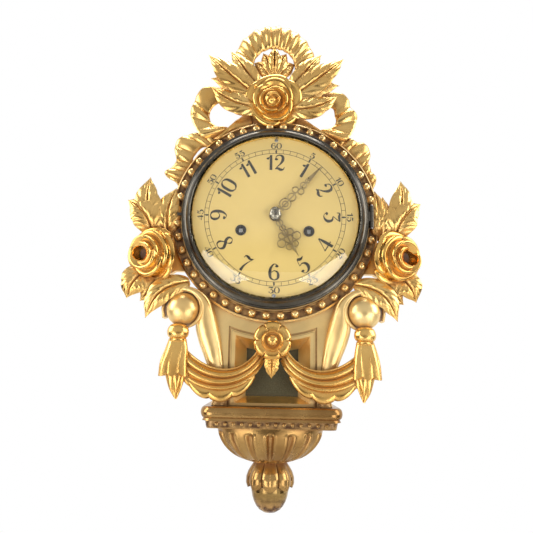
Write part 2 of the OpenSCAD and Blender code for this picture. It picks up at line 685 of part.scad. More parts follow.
// Tassel: knot, tie and a skirt in folds with its lining
module skirt(x_top, y_top, x_low, y_low, r_top, r_low, n, depth, mid_h)
  loft([for (t = [0, 0.25, 0.55, 0.85, 1]) let (
    r = r_top + (r_low - r_top) * pow(t, 0.8), x = x_top + (x_low - x_top) * t, y = y_top + (y_low - y_top) * t)
    [for (i = [0:n - 1]) let (a = -360 * i / n, k = r * (1 - depth * t * (i % 2)))
      [x + k * cos(a), y + (i % 2) * t * 1.5, mid_h + 0.62 * k * sin(a)]]]);
module tassel(s) left_right(s) {
  at(knot_at, -3) {
    rotate([-90, 0, 0]) rotate_extrude() polygon([
      [0, -8.8], [5, -8.6], [8.4, -6.6], [10, -3], [10.2, 0], [9, 3.2], [7.2, 5.4], [8.2, 6.6], [7, 8.2], [0, 8.2]
    ]);
  }
  skirt(knot_at[0], knot_at[1] - 6, 92, -156, 8.6, 14.4, 20, 0.12, -3);
  skirt(knot_at[0] + 1, -150, 89, -176, 10, 1.2, 12, 0.1, -3.4);
}
module left_tassel() color([0.86, 0.66, 0.32]) relief() tassel(-1);
module right_tassel() color([0.86, 0.66, 0.32]) relief() tassel(1);

// Urn under the case. The shelf's moulding runs along the front and round both ends.
corner_r = 12;
module shelf_profile() polygon(concat(
  [[-corner_r, 0], [-3.5, 0]],
  [for (a = [75:-25:-75]) [-3.5 + 3.5 * cos(a), -shelf_t * 0.42 + shelf_t * 0.42 * sin(a)]],
  [[-1.6, -shelf_t], [-4.5, -shelf_t - 0.6], [-5.4, -shelf_t - 5.4], [-6, -shelf_t - 7], [-corner_r, -shelf_t - 7]]
));
module urn_shelf() color([0.80, 0.60, 0.27]) relief() {
  end_x = shelf_w - corner_r;
  front = shelf_front - corner_r;
  translate([0, shelf_z, 0]) {
    for (s = [-1, 1]) left_right(s) {
      translate([end_x, 0, front]) rotate([-90, 0, 0]) rotate([0, 0, -90])
        rotate_extrude(angle = 90) translate([corner_r, 0]) shelf_profile();
      translate([shelf_w, 0, body_back]) linear_extrude(front - body_back) shelf_profile();
    }
    translate([end_x, 0, shelf_front]) rotate([0, -90, 0]) linear_extrude(2 * end_x) shelf_profile();
    block(-end_x, end_x, -shelf_t - 7, 0, body_back, front);
  }
  for (i = [0:shelf_beads - 1]) at([-end_x + 2 * end_x * (i + 0.5) / shelf_beads, shelf_z - shelf_t - 3], shelf_front - 5)
    sphere(r = 2.1);
}

// Bowl in relief: wide and flat at its rim, round and narrow at its foot
bowl_top = shelf_z - shelf_t - 7;
bowl_front = shelf_front - 6;
bowl_foot_h = -34;
function bowl_ring(t, n = 24) =
  let (w = 17 + (bowl_w - 17) * pow(1 - pow(t, 1.9), 0.62), f = bowl_foot_h + (bowl_front - bowl_foot_h) * pow(1 - pow(t, 2.2), 0.6),
       back = wall_h + back_t, d = f - back)
  [for (i = [0:n]) let (a = 180 * i / n) [w * cos(a), bowl_top - bowl_h * t, back + d * pow(sin(a), 0.42)]];
module urn_bowl() color([0.80, 0.61, 0.28]) relief() difference() {
  loft([for (t = [0, 0.12, 0.28, 0.45, 0.62, 0.78, 0.9, 1]) bowl_ring(t)]);
  for (i = [0:flutes - 1]) let (u = (i - (flutes - 1) / 2) / (flutes - 1) * 2 * 0.86)
    hull() for (t = [0.14, 0.4, 0.66, 0.86])
      let (w = 17 + (bowl_w - 17) * pow(1 - pow(t, 1.9), 0.62),
           f = bowl_foot_h + (bowl_front - bowl_foot_h) * pow(1 - pow(t, 2.2), 0.6),
           a = 90 - 90 * u, back = wall_h + back_t)
        translate([w * cos(a), bowl_top - bowl_h * t, back + (f - back) * pow(max(0.05, sin(a)), 0.42)])
          sphere(r = t < 0.2 || t > 0.8 ? 0.4 : 1.2, $fn = 6);
}

acorn_top = bowl_top - bowl_h;
acorn_h = wall_h + back_t + cup_r + 1;
module acorn_place(y) translate([0, y, acorn_h]) rotate([90, 0, 0]) children();
module acorn_cup() color([0.84, 0.64, 0.29]) relief() acorn_place(acorn_top) difference() {
  rotate_extrude() polygon(concat(
    [[0, 0.2], [15, 0.2]],
    [for (a = [60:-15:-30]) [cup_r - 13 + 13 * cos(a), cup_h * 0.62 - 14 * sin(a)]],
    [[cup_r - 3.2, cup_h], [cup_r - 5.2, cup_h - 3], [0, cup_h - 3]]
  ));
  for (i = [0:7]) rotate([0, 0, 22.5 + 45 * i]) translate([cup_r - 2.2, -1.2, 4]) cube([6, 2.4, cup_h]);
  for (i = [0:7]) rotate([0, 0, 22.5 + 45 * i]) translate([cup_r - 8, 0, cup_h + 2]) rotate([0, 90, 0]) cylinder(r = 4.4, h = 20);
}
module acorn_nut() color([0.80, 0.60, 0.26]) relief() acorn_place(acorn_top) rotate_extrude() polygon(concat(
  [[0, cup_h - 2.7]],
  [for (a = [0:12:84]) [(cup_r - 5.4) * pow(cos(a), 0.8), cup_h - 2.7 + (nut_h + 2.7) * sin(a)]],
  [[0, cup_h + nut_h]]
));

// Door
module door_bezel() color([0.25, 0.23, 0.20]) relief() {
  rotate_extrude() polygon([
    [bezel_r, 0.2], [bezel_r, 1.6], [bezel_r - 0.7, 2.7], [bezel_r - 2, 3.1], [bezel_r - 2.4, 4.7],
    [bezel_r - 4, 5.4], [bezel_r - 5.2, 6.2], [sight_r + 2.4, 8.6], [sight_r + 0.8, 9], [sight_r, 8.2],
    [sight_r, 6.2], [glass_r + 0.3, 5.2], [glass_r + 0.3, 0.2]
  ]);
  difference() {
    union() {
      translate([hinge_x, door_low, hinge_h]) rotate([-90, 0, 0]) cylinder(r = knuckle_r, h = door_high - door_low);
      block(bezel_r - 1.2, hinge_x, door_low, door_high, hinge_h - 1, hinge_h + 1.4);
    }
    hinge_bore();
  }
  block(-bezel_r - 4, -bezel_r + 0.8, -1.3, 1.7, 0.2, 1.8);
}
module hinge_bore() translate([hinge_x, -20, hinge_h]) rotate([-90, 0, 0]) cylinder(r = hinge_pin_r + run, h = 40);
module door_glass() color([0.8, 0.9, 0.9, 0.3]) relief() intersection() {
  up(dome_h - glass_sphere) difference() {
    sphere(r = glass_sphere);
    sphere(r = glass_sphere - glass_t);
  }
  disc(glass_r, 0, dome_h + 1);
}
function glass_inside(r) = dome_h - glass_sphere + sqrt(pow(glass_sphere - glass_t, 2) - r * r);
module glass_retainer() color([0.80, 0.68, 0.38]) relief() rotate_extrude() polygon([
  [sight_r - 1.8, 0.5], [glass_r + 0.1, 0.5], [glass_r + 0.1, glass_inside(glass_r) - 0.2],
  [sight_r - 1.8, glass_inside(sight_r - 1.8) - 0.2]
]);
module hinge_leaf() color([0.28, 0.26, 0.22]) relief() difference() {
  union() {
    for (q = [[hinge_low, door_low - 0.3], [door_high + 0.3, hinge_high]]) {
      translate([hinge_x, q[0], hinge_h]) rotate([-90, 0, 0]) cylinder(r = knuckle_r, h = q[1] - q[0]);
      block(hinge_x + 0.4, hinge_x + knuckle_r, q[0], q[1], channel_h + 0.05, hinge_h);
    }
    block(bezel_r + 2.6, sqrt(pow(ring_out - 2.5, 2) - pow(hinge_high, 2)), hinge_low, hinge_high,
      channel_h + 0.05, channel_h + 1.3);
  }
  hinge_bore();
}
module hinge_pin() color("silver") relief() translate([hinge_x, 0, hinge_h]) rotate([-90, 0, 0]) {
  up(hinge_low - 0.6) cylinder(r = hinge_pin_r, h = hinge_high - hinge_low + 1.2);
  up(hinge_low - 1.2) cylinder(r = hinge_pin_r + 0.5, h = 0.9);
  up(hinge_high + 0.3) cylinder(r = hinge_pin_r + 0.5, h = 0.9);
}

// Dial and hands
module wind_places() for (s = [-1, 1]) at([s * wind_x, wind_y]) children();
module dial_plate() color([0.90, 0.80, 0.52]) relief() difference() {
  disc(dial_r, -dial_t, 0);
  disc(pipe_r + 0.6, -dial_t - 1, 1);
  wind_places() disc(grommet_r - 1, -dial_t - 1, 1);
  for (s = [-1, 1]) at([0, s * dial_screw_y]) disc(1, -dial_t - 1, 1);
}
module dial_screws() color("silver") relief() for (s = [-1, 1]) at([0, s * dial_screw_y]) difference() {
  union() {
    disc(1 - run, board_front, 0.4);
    disc(1.9, 0.02, 0.8);
  }
  block(-2, 2, -0.25, 0.25, 0.4, 2);
}
module winding_grommets() color([0.12, 0.10, 0.08]) relief() wind_places() difference() {
  union() {
    disc(grommet_r, 0.02, 0.9);
    disc(grommet_r - 1 - run, -dial_t, 0.5);
  }
  disc(grommet_r - 2, -dial_t - 1, 2);
}

// Pierced scrollwork along a hand that points up: [distance, offset, ring radius]
module pierced(rings, wire, t, bars) linear_extrude(t) {
  for (q = rings) translate([q[1], q[0]]) difference() {
    circle(r = q[2]);
    circle(r = q[2] - wire);
  }
  for (b = bars) polygon([[-b[2], b[0]], [b[2], b[0]], [b[3], b[1]], [-b[3], b[1]]]);
}
module hour_hand() color([0.72, 0.66, 0.52]) relief() up(hour_h) rotate([0, 0, -hour_at]) difference() {
  union() {
    cylinder(r = pipe_r + 2, h = hand_t);
    pierced([
      [9, 0, 3.6], [14.5, 0, 3.3], [21.5, -4.6, 3.6], [21.5, 4.6, 3.6], [20, 0, 3.4],
      [28, -8.4, 4.4], [28, 8.4, 4.4], [27, 0, 4.6], [34.5, -3.4, 3.4], [34.5, 3.4, 3.4]
    ], 1, hand_t, [[5, 36, 0.6, 0.6], [35, hour_len, 1.6, 0.25], [24, 25.2, 9, 9]]);
  }
  up(-1) cylinder(r = pipe_r - 0.6, h = 4);
}
module minute_hand() color([0.72, 0.66, 0.52]) relief() up(minute_h) rotate([0, 0, -minute_at]) difference() {
  union() {
    cylinder(r = 5, h = hand_t);
    pierced([
      [14.5, 0, 6], [14.5, 0, 3.2], [24, 0, 4.4], [32, -2.6, 3.4], [34.5, 2.6, 3.4], [41, 0, 3.4], [47, 0, 2.6]
    ], 0.9, hand_t, [[4, 48, 0.55, 0.55], [48, minute_len, 2.2, 0.3], [7.5, 8.8, 3.4, 3.4]]);
  }
  up(-1) cylinder(r = 2, h = 4);
}
module hand_nut() color("silver") relief() difference() {
  intersection() {
    disc(5.6, minute_h + hand_t + 0.02, minute_h + 6);
    up(minute_h - 2.4) sphere(r = 7.2);
  }
  disc(1.9, minute_h, minute_h + 3.4);
}

// Movement
module plate(h, holes) difference() {
  up(h) linear_extrude(plate_t) translate([-plate_w, plate_bottom]) square([2 * plate_w, plate_top - plate_bottom]);
  for (q = holes) at(q[0]) disc(q[1] + run, h - 1, h + plate_t + 1);
}
pillar_at = [for (x = [-1, 1]) for (y = [plate_bottom + 6, plate_top - 6]) [x * (plate_w - 6), y]];
ratchet_r = 8.5;
module front_plate() color([0.80, 0.66, 0.34]) relief() {
  difference() {
    plate(inner_front, [
      [barrel_at, wind_r], [[-wind_x, wind_y], wind_r], [[0, 0], cannon_r + 1], [second_at, 1], [third_at, 1],
      [escape_at, 1], [pallet_at, 1], [pin_wheel_at, 1], [hammer_at, 1], for (p = pillar_at) [p, 2]
    ]);
    for (s = [-1, 1]) at([s * 24, 40]) disc(6, inner_front - 1, plate_front + 1);
  }
  at(minute_wheel_at) disc(1.5, inner_front, plate_front + 10);
  wind_places() {
    at([0, ratchet_r + 3.6]) disc(1.6, inner_front, plate_front + 2);
    block(-3, -1.6, ratchet_r + 1, ratchet_r + 9, plate_front - eps, plate_front + 1.4);
  }
}
module back_plate() color([0.80, 0.66, 0.34]) relief() {
  difference() {
    plate(back_face, [
      [barrel_at, wind_r], [[-wind_x, wind_y], wind_r], [[0, 0], arbor_r], [second_at, 1], [third_at, 1],
      [escape_at, 1], [pallet_at, arbor_r], [pin_wheel_at, 1], [hammer_at, arbor_r], for (p = pillar_at) [p, 2]
    ]);
  }
  difference() {
    at(pallet_at) {
      for (s = [-1, 1]) block(s < 0 ? -cock_w : cock_w - 3, s < 0 ? -cock_w + 3 : cock_w, -3, 4, pendulum_h - 3.5, back_face + 0.5);
      block(-cock_w, cock_w, 2.6, 4, pendulum_h - 3.5, back_face + 0.5);
      for (k = [-3.5, 1.9]) block(-cock_w, cock_w, -3, 4, pendulum_h + k, pendulum_h + k + 1.6);
    }
    at(pallet_at) disc(1 + run, pendulum_h - 4, pendulum_h + 4);
  }
}
module pillars() color([0.78, 0.64, 0.33]) relief() for (p = pillar_at) at(p) {
  disc(4, inner_back + 0.02, inner_front - 0.02);
  disc(2, back_face - 2, plate_front + 2);
  for (q = [[back_face - 2.5, back_face - 0.02], [plate_front + 0.02, plate_front + 2.5]]) disc(3.4, q[0], q[1]);
}
module barrel(s, phase) at([s * wind_x, wind_y]) difference() {
  union() {
    disc(barrel_r, barrel_top - barrel_h, barrel_top);
    up(great_h) gear(great_teeth, great_m, great_t, phase);
    disc(barrel_r - 2, barrel_top - 1, great_h + 1);
  }
  disc(wind_r + run, barrel_top - barrel_h - 1, great_h + great_t + 1);
}
module time_barrel() color([0.80, 0.64, 0.30]) relief() barrel(1, bearing(barrel_at, second_at));
module strike_barrel() color([0.80, 0.64, 0.30]) relief()
  barrel(-1, bearing([-wind_x, wind_y], pin_wheel_at));
module wind_arbor(s) at([s * wind_x, wind_y]) {
  disc(wind_r, back_face - 1.5, plate_front + 3);
  intersection() {
    block(-2, 2, -2, 2, plate_front + 2, -0.8);
    disc(2.5, plate_front + 2, -0.8);
  }
  up(plate_front + 0.3) linear_extrude(1.5) polygon([for (i = [0:19]) each [
    pol(ratchet_r, 18 * i), pol(ratchet_r - 1.6, 18 * i + 1)
  ]]);
}
module time_arbor() color("silver") relief() wind_arbor(1);
module strike_arbor() color("silver") relief() wind_arbor(-1);
module second_wheel() color([0.82, 0.67, 0.34]) relief() at(second_at) {
  up(second_h) crossed_wheel(second_teeth, great_m, wheel_t, bearing(second_at, [0, 0]));
  up(great_h - 1) gear(second_leaves, great_m, great_t + 2, bearing(barrel_at, second_at) + 180 + 180 / second_leaves);
  disc(arbor_r, inner_back + 0.3, inner_front - 0.3);
  disc(1, back_face, plate_front);
}
module centre_wheel() color([0.82, 0.67, 0.34]) relief() {
  up(centre_h) crossed_wheel(centre_teeth, centre_m, wheel_t, bearing([0, 0], third_at));
  up(second_h - 1) gear(centre_leaves, great_m, wheel_t + 2, bearing(second_at, [0, 0]) + 180 + 180 / centre_leaves);
  up(cannon_h) gear(cannon_teeth, motion_m, 2.5, -90 + 180 / cannon_teeth);
  disc(arbor_r, back_face, centre_h + 1);
  disc(cannon_r + 1, inner_front - 1, cannon_h + 1);
  disc(2.4, centre_h, inner_front);
  disc(cannon_r, cannon_h, minute_h - 0.02);
  disc(1.9, minute_h - 1, minute_h + 3);
}
module third_wheel() color([0.82, 0.67, 0.34]) relief() at(third_at) {
  up(third_h) crossed_wheel(third_teeth, third_m, wheel_t, bearing(third_at, escape_at));
  up(centre_h - 1) gear(third_leaves, centre_m, wheel_t + 2, bearing([0, 0], third_at) + 180 + 180 / third_leaves);
  disc(1.3, inner_back + 0.3, inner_front - 0.3);
  disc(1, back_face, plate_front);
}
module escape_wheel() color([0.82, 0.67, 0.34]) relief() at(escape_at) {
  up(escape_h) linear_extrude(1.2) difference() {
    polygon([for (i = [0:escape_teeth - 1]) let (a = 360 / escape_teeth) each [
      pol(escape_r - 2.2, i * a), pol(escape_r, i * a + a * 0.25), pol(escape_r, i * a + a * 0.4), pol(escape_r - 2.2, i * a + a * 0.5)
    ]]);
    for (k = [0:3]) rotate(45 + 90 * k) translate([5, 0]) circle(r = 2.2);
  }
  up(third_h - 1) gear(escape_leaves, third_m, wheel_t + 2, bearing(third_at, escape_at) + 180 + 180 / escape_leaves);
  disc(1.2, inner_back + 0.3, inner_front - 0.3);
  disc(1, back_face, plate_front);
}
module pallets() color("lightsteelblue") relief() at(pallet_at) {
  drop = escape_r + 3;
  up(escape_h - 0.4) linear_extrude(2) difference() {
    intersection() {
      translate([0, -drop]) difference() {
        circle(r = escape_r + 4);
        circle(r = escape_r + 1);
      }
      polygon([[0, 3], [-15, -14], [-15, 6], [15, 6], [15, -14]]);
    }
  }
  up(escape_h - 0.4) linear_extrude(2) circle(r = 2.6);
  disc(1.4, inner_back + 0.3, inner_front - 0.3);
  disc(1, inner_front - 1, plate_front);
  disc(arbor_r, crutch_h - 1.2, inner_back + 1);
  block(-1.4, 1.4, -34, 0, crutch_h - 1.2, crutch_h);
  at([0, -33]) disc(0.8, pendulum_h - 1.6, crutch_h);
}
module pin_wheel() color([0.82, 0.67, 0.34]) relief() at(pin_wheel_at) {
  up(second_h) difference() {
    cylinder(r = 15, h = wheel_t);
    for (i = [0:3]) rotate([0, 0, 45 + 90 * i]) translate([8.4, 0, -1]) cylinder(r = 3.2, h = 4);
  }
  for (i = [0:7]) at(pol(pin_circle, 45 * i)) disc(0.8, centre_h + wheel_t + 0.3, second_h + 0.2);
  up(great_h - 1) gear(second_leaves, great_m, great_t + 2, bearing([-wind_x, wind_y], pin_wheel_at) + 180 + 180 / second_leaves);
  disc(arbor_r, inner_back + 0.3, inner_front - 0.3);
  disc(1, back_face, plate_front);
}
module minute_wheel() color([0.82, 0.67, 0.34]) relief() at(minute_wheel_at) difference() {
  union() {
    up(cannon_h + 0.5) gear(minute_teeth, motion_m, 1.5, 90);
    up(cannon_h + 1) gear(minute_leaves, hour_m, 5.5, 90 + 180 / minute_leaves);
  }
  disc(1.5 + run, cannon_h - 2, cannon_h + 12);
}
module hour_wheel() color([0.82, 0.67, 0.34]) relief() difference() {
  union() {
    up(cannon_h + 4) gear(hour_teeth, hour_m, 1.5, -90);
    disc(pipe_r, cannon_h + 4, hour_h);
    disc(pipe_r - 0.7, hour_h - 1, hour_h + hand_t + 0.4);
  }
  disc(cannon_r + run, cannon_h, hour_h + 4);
}
module pendulum_rod() color([0.78, 0.66, 0.36]) relief() at(pallet_at, pendulum_h) {
  disc(1, -3.4, 3.4);
  block(-3, 3, -6, 1.2, -1.2, 1.2);
  block(-2.5, 2.5, -14, -5, -0.3, 0.3);
  difference() {
    block(-3, 3, -40, -13, -0.8, 0.8);
    block(-0.9, 0.9, -37, -29, -2, 2);
  }
  block(-2, 2, -pendulum_len - bob_r - 11, -39, -0.8, 0.8);
}
module pendulum_bob() color([0.82, 0.67, 0.32]) relief() at([0, pallet_at[1] - pendulum_len], pendulum_h) difference() {
  union() {
    intersection() {
      up(-bob_r * 2 + 5) sphere(r = bob_r * 2);
      up(bob_r * 2 - 5) sphere(r = bob_r * 2);
      cylinder(r = bob_r, h = 20, center = true);
    }
    translate([0, -bob_r + 1, 0]) rotate([90, 0, 0]) cylinder(r = 3.4, h = 6);
  }
  block(-2 - run, 2 + run, -40, 40, -0.8 - run, 0.8 + run);
}
module hammer() color("silver") relief() {
  at(hammer_at) {
    disc(2.1, hammer_h - 2.6, hammer_h + 2.4);
    disc(arbor_r, hammer_h, inner_front - 0.3);
    disc(1, inner_front - 1, plate_front);
    block(0, pin_wheel_at[0] - pin_circle - 1.2 - hammer_at[0], -1, 1, centre_h + 2.2, centre_h + 4);
  }
  hull() for (p = [hammer_at, hammer_head]) at(p, hammer_h - 1) cylinder(r = 1.3, h = 2, $fn = 24);
  at(hammer_head, hammer_h) rotate([0, 90, 0]) translate([0, 0, -5.4]) cylinder(r = 4.4, h = 10.8);
}
module gong() color([0.30, 0.30, 0.32]) relief() {
  intersection() {
    block(rod_x - 14, rod_x + 7, gong_y - 21, gong_y + 2, hammer_h - 8, hammer_h + 8);
    disc(case_in - 0.3, hammer_h - 9, hammer_h + 9);
  }
  for (x = [-5, 0]) translate([rod_x + x, gong_y, hammer_h]) rotate([-90, 0, 0]) cylinder(r = gong_r, h = 104);
}
module movement_brackets() color("gray") relief() for (s = [-1, 1]) for (y = [-30, 34]) left_right(s) {
  wall_x = sqrt(pow(case_in - 0.3, 2) - pow(max(abs(y), abs(y + 12)), 2));
  block(plate_w - 6, wall_x, y, y + 12, inner_front - 1.6, inner_front - 0.05);
  block(wall_x - 1.6, wall_x, y, y + 12, inner_front - 14, inner_front - 0.05);
}

case_body();
case_front();
bead_ring();
crest_fan();
crest_palmette();
crest_leaves();
crest_rose();
left_ribbon();
right_ribbon();
left_leaves();
right_leaves();
left_rose();
right_rose();
left_bracket();
right_bracket();
left_swag();
right_swag();
left_tassel();
right_tassel();
rosette();
window_frame();
window_cloth();
urn_shelf();
urn_bowl();
acorn_cup();
acorn_nut();
back_cover();
back_screws();
hanger_plate();
pin_wheel();
door_bezel();
door_glass();
glass_retainer();
hinge_leaf();
hinge_pin();
dial_plate();
dial_screws();
winding_grommets();
hour_hand();
minute_hand();
hand_nut();
front_plate();
back_plate();
pillars();
time_barrel();
strike_barrel();
time_arbor();
strike_arbor();
second_wheel();
centre_wheel();
third_wheel();
escape_wheel();
pallets();
pendulum_rod();
pendulum_bob();
minute_wheel();
hour_wheel();
hammer();
gong();
movement_brackets();
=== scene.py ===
"""A giltwood wall clock with a carved crest, side sprays, swags and an urn. Lengths are in millimetres from
the middle of the dial's face (right, up, out) until place() turns them into the frame's metres."""

import bmesh
import bpy
import numpy as np
from mathutils import Matrix, Vector


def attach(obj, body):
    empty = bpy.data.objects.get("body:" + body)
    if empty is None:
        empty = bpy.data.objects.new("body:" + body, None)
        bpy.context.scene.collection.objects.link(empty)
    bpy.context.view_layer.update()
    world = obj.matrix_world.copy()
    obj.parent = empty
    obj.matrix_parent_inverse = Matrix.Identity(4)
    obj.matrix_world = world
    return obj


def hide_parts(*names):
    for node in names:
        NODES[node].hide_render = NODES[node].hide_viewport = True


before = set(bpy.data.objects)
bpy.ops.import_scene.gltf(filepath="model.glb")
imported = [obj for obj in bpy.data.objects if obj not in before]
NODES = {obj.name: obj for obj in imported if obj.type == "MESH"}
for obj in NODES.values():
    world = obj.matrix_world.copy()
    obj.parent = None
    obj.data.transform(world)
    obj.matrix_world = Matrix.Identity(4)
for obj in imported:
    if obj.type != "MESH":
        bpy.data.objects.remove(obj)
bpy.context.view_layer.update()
SIDES = ((-1, "left"), (1, "right"))

DIAL_OUT = 84  # the dial's face stands this far off the wall
BOARD = -23.8  # back of the carvings that stand on the front board
WING = -16  # front of the boards behind the crest and the sprays
PANEL = -12  # front of the carved front board


def place(points):
    p = np.asarray(points, float)
    return np.stack([p[..., 0], -DIAL_OUT - p[..., 2], p[..., 1]], -1) / 1000


# ---------------------------------------------------------------- materials
def opened(material):
    return material.node_tree, material.node_tree.nodes["Principled BSDF"]


def new_material(name):
    material = bpy.data.materials.new(name)
    material.use_nodes = True
    return material, *opened(material)


def add(tree, kind, inputs=None, **settings):
    node = tree.nodes.new(kind)
    for key, value in settings.items():
        setattr(node, key, value)
    for key, value in (inputs or {}).items():
        if isinstance(value, bpy.types.NodeSocket):
            tree.links.new(value, node.inputs[key])
        else:
            node.inputs[key].default_value = value
    return node


def count(tree, kind, a, b):
    return add(tree, "ShaderNodeMath", {0: a, 1: b}, operation=kind).outputs[0]


def spots(tree, scale, detail=3, rough=0.5):
    where = add(tree, "ShaderNodeTexCoord").outputs["Object"]
    inputs = {"Vector": where, "Scale": scale, "Detail": detail, "Roughness": rough}
    return add(tree, "ShaderNodeTexNoise", inputs).outputs["Fac"]


def span(tree, value, low, high, to_low=0.0, to_high=1.0):
    inputs = {"Value": value, "From Min": low, "From Max": high, "To Min": to_low, "To Max": to_high}
    return add(tree, "ShaderNodeMapRange", inputs).outputs["Result"]


def blend(tree, factor, a, b):
    """A colour between a and b, which are sockets or plain colours. The factor is a socket."""
    node = add(tree, "ShaderNodeMix", {"Factor": factor}, data_type="RGBA")
    for socket, value in zip([s for s in node.inputs if s.type == "RGBA"], (a, b)):
        if isinstance(value, bpy.types.NodeSocket):
            tree.links.new(value, socket)
        else:
            socket.default_value = (*value, 1)
    return [s for s in node.outputs if s.type == "RGBA"][0]


def bumps(tree, shader, rows):
    normal = None
    for scale, depth in rows:
        inputs = {"Height": spots(tree, scale), "Distance": depth, "Strength": 1.0}
        if normal:
            inputs["Normal"] = normal
        normal = add(tree, "ShaderNodeBump", inputs).outputs["Normal"]
    tree.links.new(normal, shader.inputs["Normal"])


RUBBED = (0.42, 0.15, 0.05)  # red bole where the gold is rubbed through
TONING_AND_SHADE = (0.25, 0.095, 0.026)  # brown in the hollows: partly real toning, partly painted shade


def gilding(name, light, deep, rough, hollow_darkening=0.85, bole=0.0, reach=0.011, bump=0.00007):
    """Gold leaf over red bole: burnished on the swells, brown in the hollows as toning and painted shade,
    worn here and there.
    """
    material, tree, shader = new_material(name)
    leaf_gold = blend(tree, span(tree, spots(tree, 26), 0.35, 0.7), light, deep)
    # Painted shade: ambient occlusion darkens the hollows towards brown, on top of the real toning there
    free = add(tree, "ShaderNodeAmbientOcclusion", {"Distance": reach}, samples=6).outputs["AO"]
    toning_and_shade = span(tree, free, 0.85, 0.25, 0.0, hollow_darkening)
    worn = span(tree, spots(tree, 130, 5, 0.6), 0.72 - bole, 0.78 - bole, 0.0, 0.6)
    colour = blend(tree, toning_and_shade, blend(tree, worn, leaf_gold, RUBBED), TONING_AND_SHADE)
    tree.links.new(colour, shader.inputs["Base Color"])
    shine = count(tree, "MULTIPLY", span(tree, toning_and_shade, 0, 1, 1.0, 0.3), span(tree, worn, 0, 1, 1.0, 0.6))
    tree.links.new(shine, shader.inputs["Metallic"])
    base = span(tree, spots(tree, 70, 4), 0.3, 0.75, rough - 0.06, rough + 0.07)
    tree.links.new(count(tree, "ADD", base, span(tree, toning_and_shade, 0, 1, 0.0, 0.25)), shader.inputs["Roughness"])
    bumps(tree, shader, [(45, bump), (300, bump * 0.25)])
    return material


def metal(name, light, deep, rough, scale=70, bump=0.00008, dull=1.0):
    material, tree, shader = new_material(name)
    colour = blend(tree, span(tree, spots(tree, scale), 0.3, 0.7), light, deep)
    tree.links.new(colour, shader.inputs["Base Color"])
    shader.inputs["Metallic"].default_value = dull
    matt = span(tree, spots(tree, scale * 3), 0.3, 0.7, rough * 0.8, rough * 1.3)
    tree.links.new(matt, shader.inputs["Roughness"])
    bumps(tree, shader, [(scale * 8, bump)])
    return material


def dull_stuff(name, light, deep, rough, scale, bump, stretch=(1, 1, 1)):
    """Wood, cloth, paint: matt, with its grain along the axis where stretch is least."""
    material, tree, shader = new_material(name)
    where = add(tree, "ShaderNodeTexCoord").outputs["Object"]
    where = add(tree, "ShaderNodeMapping", {"Vector": where, "Scale": stretch}).outputs["Vector"]
    grain = add(tree, "ShaderNodeTexNoise", {"Vector": where, "Scale": scale, "Detail": 5}).outputs["Fac"]
    tree.links.new(blend(tree, span(tree, grain, 0.3, 0.7), light, deep), shader.inputs["Base Color"])
    matt = span(tree, grain, 0.3, 0.7, rough * 0.9, min(1, rough * 1.15))
    tree.links.new(matt, shader.inputs["Roughness"])
    height = add(tree, "ShaderNodeBump", {"Height": grain, "Distance": bump, "Strength": 1.0})
    tree.links.new(height.outputs["Normal"], shader.inputs["Normal"])
    return material


def glass_material():
    """Clear glass that lets the lamps' light through without a shadow."""
    material, tree, shader = new_material("clear_glass")
    shader.inputs["Base Color"].default_value = (0.99, 1, 0.99, 1)
    shader.inputs["Transmission Weight"].default_value = 1
    shader.inputs["IOR"].default_value = 1.5
    tree.links.new(span(tree, spots(tree, 14), 0.3, 0.7, 0.0, 0.004), shader.inputs["Roughness"])
    clear = add(tree, "ShaderNodeBsdfTransparent")
    ray = add(tree, "ShaderNodeLightPath").outputs["Is Shadow Ray"]
    mixed = add(tree, "ShaderNodeMixShader", {0: ray, 1: shader.outputs[0], 2: clear.outputs[0]})
    tree.links.new(mixed.outputs[0], tree.nodes["Material Output"].inputs["Surface"])
    return material


def brown_ground(material, rows):
    """Brown where all the rows hold: the bole ground of the bead channels, and painted shade on the acorn
    nut's tip.
    A row is (axis, none there, full there), in the frame's metres. The axis "out" is the distance from the
    dial's axis."""
    tree, shader = opened(material)
    where = add(tree, "ShaderNodeTexCoord").outputs["Object"]
    axes = add(tree, "ShaderNodeSeparateXYZ", {"Vector": where}).outputs
    flat = add(tree, "ShaderNodeCombineXYZ", {"X": axes["X"], "Z": axes["Z"]}).outputs[0]
    out = add(tree, "ShaderNodeVectorMath", {0: flat}, operation="LENGTH").outputs["Value"]
    low = None
    for axis, none, full in rows:
        value = out if axis == "out" else axes[axis]
        share = span(tree, value, none, full) if none < full else span(tree, value, full, none, 1.0, 0.0)
        low = share if low is None else count(tree, "MULTIPLY", low, share)
    gold = shader.inputs["Base Color"].links[0].from_socket
    mottled = span(tree, spots(tree, 150), 0.4, 0.65)
    ground = blend(tree, mottled, (0.09, 0.038, 0.013), (0.40, 0.23, 0.08))
    tree.links.new(blend(tree, low, gold, ground), shader.inputs["Base Color"])
    shine = shader.inputs["Metallic"].links[0].from_socket
    tree.links.new(count(tree, "MULTIPLY", shine, span(tree, low, 0, 1, 1, 0.4)), shader.inputs["Metallic"])


def dark_rim(material, none, full, dark):
    """Painted shade: darker where the surface turns away from the view, a dark outline along the edges."""
    tree, shader = opened(material)
    away = add(tree, "ShaderNodeLayerWeight", {"Blend": 0.5}).outputs["Facing"]
    colour = shader.inputs["Base Color"].links[0].from_socket
    tree.links.new(blend(tree, span(tree, away, none, full), colour, dark), shader.inputs["Base Color"])


